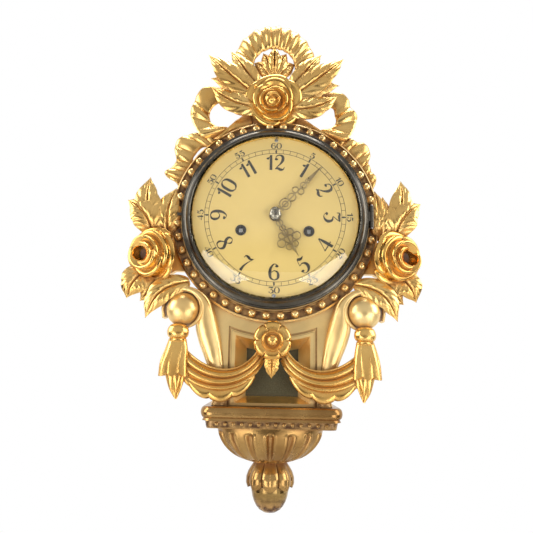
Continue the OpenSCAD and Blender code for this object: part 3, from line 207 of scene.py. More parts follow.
GILT = gilding("gilt_wood", (0.94, 0.60, 0.195), (0.80, 0.44, 0.115), 0.25)
LEAVES = gilding("gilt_leaves", (0.92, 0.605, 0.215), (0.78, 0.45, 0.13), 0.27, 0.98, 0, 0.015, 0.00003)
PETALS = gilding("gilt_petals", (0.93, 0.575, 0.165), (0.82, 0.44, 0.11), 0.18, 0.7, 0, 0.006, 0.00004)
SATIN = gilding("gilt_satin", (0.98, 0.72, 0.325), (0.95, 0.64, 0.25), 0.35, 0.9, 0, 0.013, 0.00004)
# Painted shade: the urn bowl and acorn cup get the gilding at about half brightness
SHADED_GILT = gilding("gilt_shaded", (0.50, 0.30, 0.105), (0.25, 0.12, 0.035), 0.29, 0.98, 0.03, 0.007)
# Painted shade: the burnished nut's gilding is about half as bright, standing in for the dark it reflects
BURNISHED = gilding("gilt_burnished", (0.44, 0.29, 0.105), (0.27, 0.155, 0.048), 0.09, bump=0.00004)
# Painted shade: the acorn nut turns dark brown towards its tip, standing in for the dark it reflects below
brown_ground(BURNISHED, [("Z", -0.270, -0.280)])
BEADS = gilding("gilt_beads", (0.96, 0.70, 0.32), (0.84, 0.54, 0.20), 0.22, 0.7)
brown_ground(BEADS, [("Y", -0.0752, -0.0744), ("out", 0.1028, 0.1022)])
# Painted shade: the shelf's gilding at about half brightness
SHELF = gilding("gilt_shelf", (0.50, 0.30, 0.11), (0.30, 0.15, 0.045), 0.25, 0.9, 0.03)
brown_ground(SHELF, [("Y", -0.0816, -0.0808), ("Z", -0.1962, -0.1970), ("Z", -0.2036, -0.2028)])
PINE = dull_stuff("stained_pine", (0.20, 0.11, 0.05), (0.11, 0.055, 0.024), 0.6, 40, 0.0003, (6, 6, 0.7))
CLOTH = dull_stuff("olive_cloth", (0.075, 0.062, 0.026), (0.04, 0.033, 0.013), 0.85, 900, 0.0002)
BRONZE = metal("dark_bronze", (0.075, 0.066, 0.053), (0.13, 0.115, 0.09), 0.19, dull=0.9)
DIAL_GOLD = metal("gold_dial", (0.59, 0.43, 0.147), (0.57, 0.41, 0.138), 0.42, 12, 0.00002, 0.35)
PALE = metal("pale_brass", (0.47, 0.355, 0.165), (0.27, 0.185, 0.08), 0.30)
# Painted shade: dark outlines on the hands where their surface turns away from the view
dark_rim(PALE, 0.3, 0.6, (0.05, 0.032, 0.012))
BRASS = metal("clock_brass", (0.80, 0.60, 0.27), (0.66, 0.46, 0.18), 0.28)
GILT_BRASS = metal("gilt_brass", (0.84, 0.66, 0.32), (0.70, 0.52, 0.22), 0.24)
STEEL = metal("bright_steel", (0.52, 0.51, 0.49), (0.40, 0.39, 0.37), 0.24)
DARK_STEEL = metal("grey_steel", (0.46, 0.42, 0.34), (0.20, 0.175, 0.13), 0.22, 240)
# Painted shade: a dark outline on the hand nut where its surface turns away from the view
dark_rim(DARK_STEEL, 0.25, 0.6, (0.03, 0.022, 0.013))
BLACK = metal("black_iron", (0.028, 0.024, 0.020), (0.05, 0.042, 0.034), 0.4, dull=0.6)
INK = dull_stuff("dial_ink", (0.016, 0.013, 0.010), (0.030, 0.024, 0.017), 0.5, 300, 0.00001)
GLASS = glass_material()
# Painted shade: a dark brown lining set in the hollow hearts of the side roses
HOLLOW_SHADE = dull_stuff("painted_hollow_shade", (0.045, 0.018, 0.007), (0.10, 0.045, 0.018), 0.6, 200, 0.0002)

FINISH = {  # the other nodes are gilt
    PINE: ["case_body", "back_cover", "movement_brackets"],
    SATIN: ["case_front", "window_frame", "left_bracket", "right_bracket"],
    BEADS: ["bead_ring"],
    SHELF: ["urn_shelf"],
    SHADED_GILT: ["urn_bowl", "acorn_cup"],
    BURNISHED: ["acorn_nut"],
    CLOTH: ["window_cloth"],
    BRONZE: ["door_bezel", "hinge_leaf"],
    GLASS: ["door_glass"],
    GILT_BRASS: ["glass_retainer"],
    DIAL_GOLD: ["dial_plate"],
    BLACK: ["winding_grommets", "hammer"],
    PALE: ["hour_hand", "minute_hand"],
    DARK_STEEL: ["hand_nut"],
    STEEL: ["hinge_pin", "dial_screws", "back_screws", "hanger_plate", "time_arbor", "strike_arbor",
            "pallets", "gong"],
    BRASS: ["front_plate", "back_plate", "pillars", "time_barrel", "strike_barrel", "second_wheel",
            "centre_wheel", "third_wheel", "escape_wheel", "pendulum_rod", "pendulum_bob", "minute_wheel",
            "hour_wheel", "pin_wheel"],
}


def dress(name, material):
    NODES[name].data.materials.clear()
    NODES[name].data.materials.append(material)


for name in NODES:
    dress(name, GILT)
for material, names in FINISH.items():
    for name in names:
        dress(name, material)


# ---------------------------------------------------------------- shaping
def curve(points, n):
    """n rows along a smooth curve through a few rows. The first two numbers of a row are its place."""
    p = np.array(points, float)
    t = np.concatenate([[0], np.cumsum(np.linalg.norm(np.diff(p[:, :2], axis=0), axis=1))])
    slope = np.gradient(p, t, axis=0)
    s = np.linspace(0, t[-1], n)
    i = np.clip(np.searchsorted(t, s, "right") - 1, 0, len(t) - 2)
    step = (t[i + 1] - t[i])[:, None]
    u = (s - t[i])[:, None] / step
    return ((2 * u**3 - 3 * u**2 + 1) * p[i] + (u**3 - 2 * u**2 + u) * step * slope[i]
            + (3 * u**2 - 2 * u**3) * p[i + 1] + (u**3 - u**2) * step * slope[i + 1])


def bezier(p, t):
    p = np.array(p, float)
    return (1 - t) ** 3 * p[0] + 3 * (1 - t) ** 2 * t * p[1] + 3 * (1 - t) * t**2 * p[2] + t**3 * p[3]


def circle(n):
    return np.linspace(0, 2 * np.pi, n, endpoint=False)


def arc(x, y, r, degrees):
    return np.stack([x + r * np.cos(np.radians(degrees)), y + r * np.sin(np.radians(degrees))], -1)


def across(p):
    """Unit steps to the left of a flat line's way at each of its points."""
    along = np.gradient(p, axis=0)
    along /= np.linalg.norm(along, axis=1, keepdims=True) + 1e-9
    return np.stack([-along[:, 1], along[:, 0]], -1)


def lathe(x, y, q, profile):
    """Rings round a middle, one for each (radius, height)."""
    return np.array([np.stack([x + r * np.cos(q), y + r * np.sin(q), h + 0 * q], -1) for r, h in profile])


def shell(front, back):
    """Closed skin between two sheets of points of one size."""
    rows, cols = front.shape[:2]
    points = np.concatenate([front.reshape(-1, 3), back.reshape(-1, 3)])
    k = rows * cols
    faces = []
    for i in range(rows - 1):
        for j in range(cols - 1):
            a, b, c, d = i * cols + j, i * cols + j + 1, (i + 1) * cols + j + 1, (i + 1) * cols + j
            faces += [(a, b, c, d), (k + d, k + c, k + b, k + a)]
    rim = list(range(cols)) + [i * cols + cols - 1 for i in range(1, rows)]
    rim += [(rows - 1) * cols + j for j in range(cols - 2, -1, -1)]
    rim += [i * cols for i in range(rows - 2, 0, -1)]
    for a, b in zip(rim, rim[1:] + rim[:1]):
        faces.append((b, a, k + a, k + b))
    return points, faces


def thicken(flat, height, thick, least):
    """Closed sheet over flat places at their heights. At its rim only the share least is left of thick."""
    middle = np.dstack([flat, height[..., None]])
    normal = np.cross(np.gradient(middle, axis=0), np.gradient(middle, axis=1))
    normal /= np.linalg.norm(normal, axis=-1, keepdims=True) + 1e-9
    u = np.sin(np.linspace(0, np.pi, len(middle)))[:, None]
    v = np.sin(np.linspace(0, np.pi, middle.shape[1]))[None, :]
    full = least + (1 - least) * np.clip(np.minimum(u, v) * 3, 0, 1) ** 0.6
    off = normal * (thick / 2 * full)[..., None]
    return shell(middle + off, middle - off)


def ring_skin(rings):
    """Closed skin over a row of closed rings, its two ends closed by fans."""
    m, n = rings.shape[:2]
    points = np.concatenate([rings.reshape(-1, 3), rings[0].mean(0)[None], rings[-1].mean(0)[None]])
    faces = []
    for i in range(m - 1):
        for j in range(n):
            q = (j + 1) % n
            faces.append((i * n + j, i * n + q, (i + 1) * n + q, (i + 1) * n + j))
    for j in range(n):
        q = (j + 1) % n
        faces += [(m * n, q, j), (m * n + 1, (m - 1) * n + j, (m - 1) * n + q)]
    return points, faces


def turned(points, centre, tilt):
    """Points about an origin, tipped by angles in degrees about right, up and out, then moved to centre."""
    turn = Matrix.Identity(3)
    for axis, angle in zip("XYZ", tilt):
        turn = Matrix.Rotation(np.radians(angle), 3, axis) @ turn
    return np.asarray(points) @ np.array(turn).T + np.array(centre)


def mirrored(skins, side):
    return [(points * (side, 1, 1), faces) for points, faces in skins]


def piece(name, skins, material, nodes, body="clock", angle=40):
    """One object made of closed skins. It stands in for its nodes."""
    points, faces, start = [], [], 0
    for p, f in skins:
        points.append(p)
        faces += [tuple(i + start for i in face) for face in f]
        start += len(p)
    mesh = bpy.data.meshes.new(name)
    mesh.from_pydata(place(np.concatenate(points)).tolist(), [], faces)
    work = bmesh.new()
    work.from_mesh(mesh)
    bmesh.ops.remove_doubles(work, verts=work.verts, dist=1e-6)
    bmesh.ops.recalc_face_normals(work, faces=work.faces)
    work.to_mesh(mesh)
    work.free()
    mesh.polygons.foreach_set("use_smooth", [True] * len(mesh.polygons))
    mesh.set_sharp_from_angle(angle=np.radians(angle))
    made = bpy.data.objects.new(name, mesh)
    bpy.context.scene.collection.objects.link(made)
    mesh.materials.append(material)
    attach(made, body)
    if nodes:
        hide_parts(*nodes)


def carve(node, skins, material, angle=40):
    piece(node + "_carved", skins, material, [node], angle=angle)


# ---------------------------------------------------------------- leaves
def leaf(base, tip, width, h0, h1, bow=0.0, arch=5.0, thick=4.0, veins=5, belly=0.88, deep=3.4):
    """A carved leaf: a swelling half on each side of a sharp groove, slanting veins and a wavy edge."""
    s = np.linspace(0, 1, 64)[:, None]
    v = np.linspace(-1, 1, 31)[None, :]
    base, tip = np.array(base, float), np.array(tip, float)
    run = tip - base
    side = np.array([-run[1], run[0]]) / np.linalg.norm(run)
    mid = base + run * s + side * bow * np.sin(np.pi * s)
    cross = across(mid)
    swell = np.sin(np.pi * s**belly) ** (0.72 + 0.35 * s**3) * (1 - 0.30 * np.clip((s - 0.86) / 0.14, 0, 1))
    half = width / 2 * (swell + 0.25 * (1 - s) ** 2) + 0.12
    fade = np.clip(np.minimum(s, 1 - s) * 5, 0, 1)
    wavy = np.abs(np.sin(np.pi * (veins * 0.42 * s**1.3 + 0.25 * np.sign(v)))) ** 0.6 - 0.75
    reach = half * v * (1 + 0.17 * wavy * fade * np.clip(2.2 * s - 0.4, 0, 1) * np.abs(v) ** 2)
    vein = (0.5 + 0.5 * np.cos(2 * np.pi * veins * (s - 0.3 * np.abs(v) ** 0.8))) ** 2.5
    body = np.clip(half / (width / 2), 0.05, 1)
    spine = h0 + (h1 - h0) * s + arch * np.sin(np.pi * s)
    top = spine + body * deep * np.sin(0.95 * np.pi * np.abs(v) ** 0.68) ** 0.8
    top = top - 0.8 * vein * fade * np.abs(v) ** 0.5 * (1 - np.abs(v) ** 8)
    low = spine - thick * (0.3 + 0.7 * (1 - v**2)) * np.clip(body, 0.25, 1)
    x, y = mid[:, 0:1] + cross[:, 0:1] * reach, mid[:, 1:2] + cross[:, 1:2] * reach
    return shell(np.stack([x, y, top], -1), np.stack([x, y, low], -1))


# ---------------------------------------------------------------- roses
def rose(centre, r, tilt, petals, heart, off):
    """A full rose. Each petal is (rim radius, rim height, middle angle, width in degrees, depth of its cup).
    The inner petals stand round a heart that lies off the middle."""
    q = circle(288)[None, :]

    def rim(angle, out, at, wide):
        a = (angle - np.radians(at) + np.pi) % (2 * np.pi) - np.pi
        a = a / np.radians(wide / 2)
        return a, out * (1 - 0.12 * np.abs(a) ** 2.4) + 0.9 * np.sin(3.7 * a + at) * (out / r)

    rims = [rim(q, out, at, wide) for out, _, at, wide, _ in petals]
    edge = np.max([np.where(np.abs(a) < 1.12, R, 0) for a, R in rims], axis=0)
    rho = np.linspace(0.01, 1, 112)[:, None] ** 0.9 * edge
    top = np.full(rho.shape, 3.0)
    x, y = rho * np.cos(q), rho * np.sin(q)
    for out, tall, at, wide, cup in petals:
        share = 1 - out / r
        dx, dy = x - off[0] * share, y - off[1] * share
        near = np.hypot(dx, dy)
        a, R = rim(np.arctan2(dy, dx), out, at, wide)
        k = near / R
        up = tall * (1 - 0.08 * np.abs(a) ** 2.5) + 1.1 * a - cup * np.clip(1 - k, 0, 1) ** 1.1
        up = up - 2.4 * np.clip((k - 0.84) / 0.16, 0, 1) ** 2.2 - 9.0 * np.clip(near - R, 0, None)
        up = up - 30 * np.clip(np.abs(a) - 1, 0, None)
        top = np.maximum(top, up)
    dx, dy = x - off[0], y - off[1]
    top = heart(top, np.hypot(dx, dy), np.arctan2(dy, dx))
    flat = np.stack([x, y, top], -1)
    under = lathe(0, 0, q[0], ((0.45 * r, 0), (0.56 * r, 1.0), (0.72 * r, 4.0)))
    lip = flat[-1] * (0.97, 0.97, 1) - (0, 0, 2.4)
    points, faces = ring_skin(np.concatenate([under, lip[None], flat[::-1]]))
    return turned(points, centre, tilt), faces


def bud(top, rho, q):
    """A tight heart with a curling lip."""
    spiral = 0.9 * np.cos(q - 0.55 * rho) * np.clip(1 - rho / 7, 0, 1)
    return np.maximum(top, 27.0 - 0.16 * rho**2 + spiral)


def hollow(top, rho, q):
    """An open heart."""
    well = 8.2 * (1 + 0.14 * np.cos(2 * q + 0.5))
    return top - 15.0 * np.clip(1 - rho / well, 0, 1) ** 0.45


CREST = (-3.5, 127.0)
CREST_LEAVES = [  # base, tip, width, height at base and at tip, bow
    ((-19, 137), (-51, 188), 20, -14, -11, -1), ((-19, 132), (-74, 179.5), 24, -9, -5, 3),
    ((-16, 129), (-71, 155), 24, -13, -10, -3), ((-15, 121), (-69, 142), 22, -9, -6, 8),
    ((-18, 138), (-39, 176), 13, -15, -13, 1),
    ((13, 137), (47, 185.5), 20, -14, -11, 1), ((13, 132), (70, 177), 24, -9, -5, -3),
    ((9, 129), (66, 149), 23, -13, -10, 3), ((9, 120), (63, 134), 21, -9, -6, -8),
    ((12, 138), (33, 176), 13, -15, -13, -1)]
crest_disc = ring_skin(lathe(*CREST, circle(40), ((22, WING + 0.2), (22, WING + 3), (18, WING + 4))))
carve("crest_leaves", [leaf(*row) for row in CREST_LEAVES] + [crest_disc], LEAVES)
CREST_PETALS = [
    (29.5, 11.0, 20, 104, 6), (28.0, 13.5, 92, 100, 6), (30.0, 10.5, 165, 108, 6), (28.5, 13.0, 238, 102, 6),
    (30.0, 10.0, 308, 106, 6), (22.5, 18.5, 70, 140, 12), (21.0, 20.5, 172, 128, 12),
    (22.0, 17.5, 290, 150, 12), (15.0, 23.0, 20, 190, 13), (14.0, 24.8, 190, 200, 13),
    (8.6, 26.6, 100, 210, 8), (7.6, 27.6, 280, 200, 8)]
crest_rose = rose((CREST[0], CREST[1] + 1, WING + 3.5), 29, (8, 0, 0), CREST_PETALS, bud, (-1, -6))
carve("crest_rose", [crest_rose], PETALS, angle=70)

SIDE_PETALS = [
    (28.0, 10.0, 10, 104, 6), (27.0, 12.5, 85, 100, 6), (28.0, 9.5, 158, 108, 6), (27.5, 12.0, 230, 102, 6),
    (28.0, 9.0, 300, 106, 6), (23.5, 19.5, 60, 140, 11), (22.5, 21.5, 170, 130, 11),
    (23.5, 18.5, 285, 150, 11), (17.4, 25.5, 15, 190, 12), (16.4, 27.2, 185, 200, 12),
    (12.2, 28.4, 100, 210, 9)]
ROSE_AT = (116.5, -39)
ROSE_TURN = 24  # degrees by which a side rose faces outward
HEART_OFF = 5  # the heart of a side rose lies this far out from its middle
SHADE_LINING = ((5.6, 8.0), (5.6, 14.6), (3.0, 13.8))  # radius and height of a dark lining in the heart: painted shade in the hollow
for side, name in SIDES:
    centre, tilt = (side * ROSE_AT[0], ROSE_AT[1], WING + 5), (6, side * ROSE_TURN, 0)
    petals = [(r, h, side * at + 90, wide, cup) for r, h, at, wide, cup in SIDE_PETALS]
    side_rose = rose(centre, 27, tilt, petals, hollow, (side * HEART_OFF, 0))
    carve(name + "_rose", [side_rose], PETALS, angle=70)
    # Painted shade: a dark lining in the rose's hollow heart
    points, faces = ring_skin(lathe(side * HEART_OFF, 0, circle(40), SHADE_LINING))
    piece(name + "_rose_shade_lining", [(turned(points, centre, tilt), faces)], HOLLOW_SHADE, [])

LEFT_LEAVES = [
    ((-121, -14), (-127.5, 40.5), 25, -10, -5, 4), ((-108, -20), (-101, 30), 23, -12, -7, 3),
    ((-122, -18), (-148.6, 15.5), 27, -9, -4, -5), ((-124, -54), (-143.5, -84), 26, -9, -5, -3),
    ((-83, -66), (-124, -103), 22, -8, -5, -9), ((-106, -22), (-112, 24), 18, -14, -10, 1),
    ((-112, -56), (-131, -86), 22, -12, -8, 3)]
RIGHT_LEAVES = [
    ((117, -14), (127, 41), 23, -10, -5, -4), ((102, -18), (101, 31), 16, -12, -8, -2),
    ((120, -18), (146, 16.5), 27, -9, -4, 5), ((118, -54), (138.5, -83), 25, -9, -5, 3),
    ((79, -66), (120, -102), 22, -8, -5, 9), ((107, -20), (109, 25), 20, -13, -8, 1),
    ((107, -56), (127, -85), 22, -12, -8, -3)]
carve("left_leaves", [leaf(*row) for row in LEFT_LEAVES], LEAVES)
carve("right_leaves", [leaf(*row) for row in RIGHT_LEAVES], LEAVES)

# ---------------------------------------------------------------- fan, palmette and ribbons
FAN_PLEATS = 4.9  # on each half of the fan
FAN_INNER, FAN_OUTER = 22.6, 42.2  # radii of its edges
t = np.linspace(1, -1, 221)
rho = np.linspace(0, 1, 26)[:, None]
pleat = FAN_PLEATS * t + 0.25 * np.sin(4.3 * t + 0.8) + 0.12
fold = np.cos(2 * np.pi * pleat) + 0.3 * np.cos(4 * np.pi * pleat + 0.9)
inner = arc(-4, 172, FAN_INNER + 0.3 * t**2, 90 + 106 * t)
outer = arc(-3.5, 180, FAN_OUTER + 0.22 * fold + 0.5 * np.sin(4 * t + 1) + 1.6 * t**2, 90 + 92 * t)
flat = inner[None] * (1 - rho[..., None]) + outer[None] * rho[..., None]
height = WING + 0.5 + 1.9 * fold[None] * (0.35 + 0.65 * rho) * (1 - 0.6 * rho**5)
height = height + 3.0 * np.sin(np.pi * rho**0.8) - 2.0 * rho**6
carve("crest_fan", [thicken(flat, height, 3.6, 0.5)], LEAVES)

FOOT = (-3.5, 155)
LOBES = [(-3.4, 194.5, 14, 4), (-16, 189, 14, 1), (9.5, 189, 14, 1),  # tip, width, height at the tip
         (-26, 178.5, 15, -1), (19, 177.5, 15, -1)]
lobes = []
for x, y, w, h in LOBES:
    lean = x - FOOT[0]
    lobes.append(leaf((FOOT[0] + 0.15 * lean, FOOT[1]), (x, y), w, WING + 2, WING + h, 0.12 * lean,
                      arch=2.5, thick=4.5, veins=4, belly=1.1, deep=4.2))
carve("crest_palmette", lobes, LEAVES)


ALONG, ACROSS = 200, 22  # points of a ribbon
RIBBON_THICK = 3.4
CURLS = [(0.18, 0.10, 2.4), (0.35, 0.03, -1.7), (0.41, 0.03, 2.0), (0.47, 0.025, -1.7),  # place, width, lift
         (0.63, 0.045, 3.8), (0.71, 0.03, -3.2), (0.79, 0.05, 2.6)]


def strip(inner, outer):
    """Places of a ribbon between its two edges."""
    a, b = curve(inner, ALONG), curve(outer, ALONG)
    t = np.linspace(0, 1, ACROSS)[:, None, None]
    return a[None] * (1 - t) + b[None] * t


def ribbon(node, inner, outer, tail_in, tail_out):
    """A loop with a few curls in it, and a tail in round pleats."""
    u = np.linspace(0, 1, ALONG)[None, :]
    v = np.linspace(0, 1, ACROSS)[:, None]
    swell = 2.2 * np.sin(np.pi * v)
    wave = sum(lift * np.exp(-(((u - at + 0.05 * (v - 0.5)) / wide) ** 2)) for at, wide, lift in CURLS)
    height = WING - 1 + wave * (0.55 + 0.45 * v) + swell
    loop = thicken(strip(inner, outer), height, RIBBON_THICK, 0.45)
    pleats = 4.8 * (np.abs(np.cos(np.pi * (6.0 * u**0.92 + 0.15 * np.sin(9 * u)))) ** 0.9 - 0.6)
    height = WING - 2 + pleats * (0.25 + 0.75 * v) * (1 - 0.4 * v**5) + swell + 1.5 * u
    carve(node, [loop, thicken(strip(tail_in, tail_out), height, RIBBON_THICK, 0.45)], LEAVES)


BEADS_OUT = 105.6  # radius where the tails meet the bead ring


def on_beads(*degrees):
    return [(BEADS_OUT * np.cos(np.radians(a)), BEADS_OUT * np.sin(np.radians(a))) for a in degrees]


ribbon("left_ribbon",
       [(-44, 122), (-52, 124), (-57, 127), (-62, 129), (-67, 126), (-71, 120), (-72, 114), (-70, 108),
        (-65, 103.5), (-57, 101.5), (-50, 102), (-44, 107), (-38, 114), (-29, 121)],
       [(-46, 142), (-56, 145), (-64, 147), (-72, 148), (-80, 146.5), (-86, 139), (-89.5, 128), (-92, 118),
        (-89, 106), (-76, 88), (-62, 88), (-50, 93), (-38, 97), (-25, 100)],
       on_beads(127, 131) + [(-76, 80), (-82, 75), (-87, 67)] + on_beads(146, 151, 156, 161),
       [(-79, 97), (-90, 94), (-99, 91), (-106, 84), (-107, 77), (-105, 69), (-105, 61), (-115.5, 49.5),
        (-103, 40)])
ribbon("right_ribbon",
       [(36, 119), (43, 119), (49, 124), (55, 127), (60, 125), (62, 118), (63, 110), (60, 104.5),
        (55, 102), (50, 100.5), (43, 99.5), (37, 104), (31, 111), (22, 117)],
       [(38, 138), (47, 141), (56, 143), (65, 143), (71, 142), (76, 137), (79, 127), (85.5, 117),
        (84, 108), (72, 88), (60, 89), (49, 94), (36, 98), (20, 101)],
       on_beads(52, 48, 44, 40, 36, 32, 28, 24, 19),
       [(74, 96), (83, 89), (92, 86.5), (98, 80), (98.5, 73), (96.5, 66), (98, 58), (104, 46), (100, 36)])

# ---------------------------------------------------------------- brackets
EYE = (88, -93.5)
EYE_R, EYE_TALL, EYE_LOW = 16.6, 16.2, -9.5  # the eye is half a ball on EYE_LOW
LIP_R = 18.2  # the lip round the eye
SCROLL = np.array([  # inner edge, outer edge, height: from beside the eye, over it and down to the foot
    (105.5, -101, 108.5, -102, -9), (106, -92, 109.5, -91, -7), (101, -82, 104.5, -78, -5.5),
    (91, -76.5, 91, -70.5, -4.5), (80.5, -78.5, 75, -73.5, -4), (73, -86, 63.5, -82, -4.5),
    (71, -97, 57.5, -95, -5.5), (75, -108, 54, -108, -7), (72.5, -122, 50.5, -123, -9),
    (66.5, -138, 48, -139, -10.4), (59.5, -156, 46.5, -157, -11), (55, -170, 45.5, -171, -11),
    (58, -183.6, 44.5, -183.6, -11)])
a, b = curve(SCROLL[:, :2], 90), curve(SCROLL[:, 2:4], 90)
h = np.interp(np.linspace(0, 1, 90), np.linspace(0, 1, len(SCROLL)), SCROLL[:, 4])
# Across the band: a bead at each edge, a groove, and a full round between
k = np.linspace(0, 1, 34)
beads = np.exp(-(((k - 0.06) / 0.05) ** 2)) + np.exp(-(((k - 0.94) / 0.05) ** 2))
roll = 1.7 * np.sin(np.pi * np.clip((k - 0.16) / 0.68, 0, 1)) ** 0.7 + 0.9 * beads
drop = -3.2 * (np.abs(2 * k - 1) ** 10)
wide = np.clip(np.linalg.norm(b - a, axis=1) / 14, 0.3, 1.3)
flat = a[:, None] * (1 - k[None, :, None]) + b[:, None] * k[None, :, None]
top = np.dstack([flat, h[:, None] + roll[None] * wide[:, None] + drop[None]])
low = top[:, [-1, 0]].copy()
low[..., 2] = BOARD
tilts = np.radians([-60, -40, -20, -5, 5, 15, 25, 35, 45, 55, 65, 75, 83, 88])
eye = lathe(*EYE, circle(56), [(EYE_R * np.cos(e), EYE_LOW + EYE_TALL * np.sin(e)) for e in tilts])
lip, w = [], circle(14)
for e in np.linspace(0, 1, 40):
    at, r = np.radians(100 + 170 * e), 0.25 + 1.9 * np.sin(np.pi * e) ** 0.8
    out = LIP_R + r * np.cos(w)
    x, y = EYE[0] + out * np.cos(at), EYE[1] + out * np.sin(at)
    lip.append(np.stack([x, y, -5.2 + 1.5 * r * np.sin(w)], -1))
bracket = [ring_skin(np.concatenate([top, low], 1)), ring_skin(eye), ring_skin(np.array(lip))]
for side, name in SIDES:
    carve(name + "_bracket", mirrored(bracket, side), SATIN)

# ---------------------------------------------------------------- swags and tassels
UPPER_HEM = [(13, -129), (26, -154), (58, -159), (86, -128)]
LOWER_HEM = [(8, -141), (22, -174), (66, -178), (88, -152)]


def swag():
    """A swag of the right side: the cloth in its folds and the scalloped lining under it."""
    u = np.linspace(0, 1, 90)[:, None]
    v = np.linspace(0, 1, 60)[None, :]
    flat = bezier(UPPER_HEM, u)[:, None] * (1 - v[..., None]) + bezier(LOWER_HEM, u)[:, None] * v[..., None]
    full = 0.5 + 0.5 * np.sin(np.pi * u) ** 0.8
    sag = 2.9 * v + 0.45 * np.sin(np.pi * u) * v
    ridge = 0.5 + 0.5 * np.cos(2 * np.pi * (sag * 0.92 + 0.1))
    belly = 6.0 * np.sin(np.pi * np.clip(v * 0.96 + 0.04, 0, 1)) ** 0.45
    cloth = thicken(flat, PANEL + 4 + full * (belly + 4.8 * (ridge**0.8 - 0.5)), 3.0, 0.4)
    u = np.linspace(0.16, 0.99, 120)[:, None]
    v = np.linspace(0, 1, 16)[None, :]
    hem = bezier(LOWER_HEM, u)
    lobe = np.abs(np.sin(np.pi * ((u - 0.16) / 0.83) ** 1.15 * 3.6)) ** 0.7
    fall = (10.5 * np.sin(np.pi * np.clip((u - 0.1) / 0.95, 0, 1)) ** 0.8) * (0.72 + 0.28 * lobe) + 1
    flat = np.dstack([hem[:, 0:1] + 0 * v - 0.08 * fall * v, hem[:, 1:2] + 4 - (fall + 4) * v])
    height = PANEL + 3.8 + 2.6 * np.sin(np.pi * v * 0.9) + 1.5 * lobe * v
    return [cloth, thicken(flat, height, 2.4, 0.4)]


def skirt(stations, folds, depth, height):
    """Hanging cloth in folds, flatter than round. Stations are (x, y, radius)."""
    rings, q = [], circle(108)
    for i, (y, _, x, r) in enumerate(curve([(y, 0, x, r) for x, y, r in stations], 30)):
        t = i / 29
        k = r * (1 - depth * t**0.7 * (1 - np.abs(np.cos(folds * q / 2 + 0.6 * t)) ** 0.8))
        hem = y + 1.6 * t * np.sin(folds * q)
        rings.append(np.stack([x + k * np.cos(q), hem, height + 0.62 * k * np.sin(q)], -1))
    return ring_skin(np.array(rings))


def knot(x, y, height):
    rows = [(-9.4, 2), (-9, 5), (-6.6, 8.6), (-3, 10.2), (0.4, 10.2), (3.4, 9), (4.8, 7.6), (5.6, 8.7),
            (6.6, 8.2), (7.4, 8.9), (8.4, 7.8)]
    rings, q = [], circle(60)
    for d, r in curve(rows, 34):
        out = r * (1 + 0.03 * np.cos(9 * q))
        rings.append(np.stack([x + out * np.cos(q), y - d + 0 * q, height + 0.8 * r * np.sin(q)], -1))
    return ring_skin(np.array(rings))


cloth = swag()
for (side, name), x, low_x, tip_x in zip(SIDES, (91, 88), (93.5, 89), (90, 86)):
    carve(name + "_swag", mirrored(cloth, side), GILT)
    upper = [(x, -123, 8.6), (x + 0.5, -132, 11), (low_x, -144, 13.4), (low_x, -156, 14.6)]
    lower = [(low_x - 1, -149, 10), (low_x - 2, -160, 8.6), (tip_x + 1, -170, 5), (tip_x, -177, 0.8)]
    tassel = [knot(x, -117, -3.4), skirt(upper, 7, 0.18, -3.0), skirt(lower, 6, 0.25, -3.6)]
    carve(name + "_tassel", mirrored(tassel, side), GILT)

# ---------------------------------------------------------------- rosette
ROSETTE = [(18.0, -0.8), (18.2, 0.4), (17.6, 1.9), (16, 3.0), (13.5, 3.6), (11, 3.2),  # radius, height
           (10.2, 3.0), (9.9, 4.4), (8.8, 5.3), (7.6, 4.6), (7.0, 3.0), (6.0, 2.6), (5.4, 4.0), (4.4, 6.4),
           (2.6, 7.9), (0.8, 8.4)]
q = circle(144)
gap = np.abs(np.cos(3 * q)) ** 0.2
profile = []
for r, h in ROSETTE:
    cut = np.clip((r - 10) / 6, 0, 1) * (1 - gap)
    profile.append((r * (1 - 0.08 * cut), 4.4 + h - 1.9 * cut))
back = lathe(-0.5, -123.5, q, ((5.8, BOARD), (5.8, 3.4), (17.0, 3.6)))
front = lathe(-0.5, -122.8, q + np.pi / 2, profile)
tongue = leaf((-0.5, -132), (-1, -157.5), 12.5, 3.2, 1, arch=2.5, thick=3.5, veins=9, belly=1.0, deep=2.0)
carve("rosette", [ring_skin(np.concatenate([back, front])), tongue], GILT)

# ---------------------------------------------------------------- urn
BOWL_TOP, BOWL_TALL = -204, 35
BOWL_BACK = -81
FLUTE_STEP = 21.5  # degrees between the flutes of the bowl
FLUTE_DEEP, FLUTE_RIM = 2.6, 1.3  # depth of a flute, height of the raised lines beside it
q = np.linspace(0, np.pi, 200)
flutes = np.zeros_like(q)
for i in range(-3, 4):
    off = np.abs(q - np.radians(90 - FLUTE_STEP * i))
    flutes += FLUTE_DEEP * np.exp(-((off / 0.045) ** 4)) - FLUTE_RIM * np.exp(-(((off - 0.075) / 0.022) ** 2))
rings = []
for t in np.linspace(0, 1, 46):
    wide = 17.5 + 36.5 * max(0, 1 - t**1.9) ** 0.62
    out = 47 + 29 * max(0, 1 - t**2.2) ** 0.6
    deep = flutes * np.clip((t - 0.13) * 14, 0, 1) * np.clip((0.93 - t) * 9, 0, 1)
    rings.append(np.stack([-0.8 + (wide - deep) * np.cos(q), BOWL_TOP - BOWL_TALL * t + 0 * q,
                           BOWL_BACK + (out - deep) * np.sin(q) ** 0.42], -1))
carve("urn_bowl", [ring_skin(np.array(rings))], SHADED_GILT)

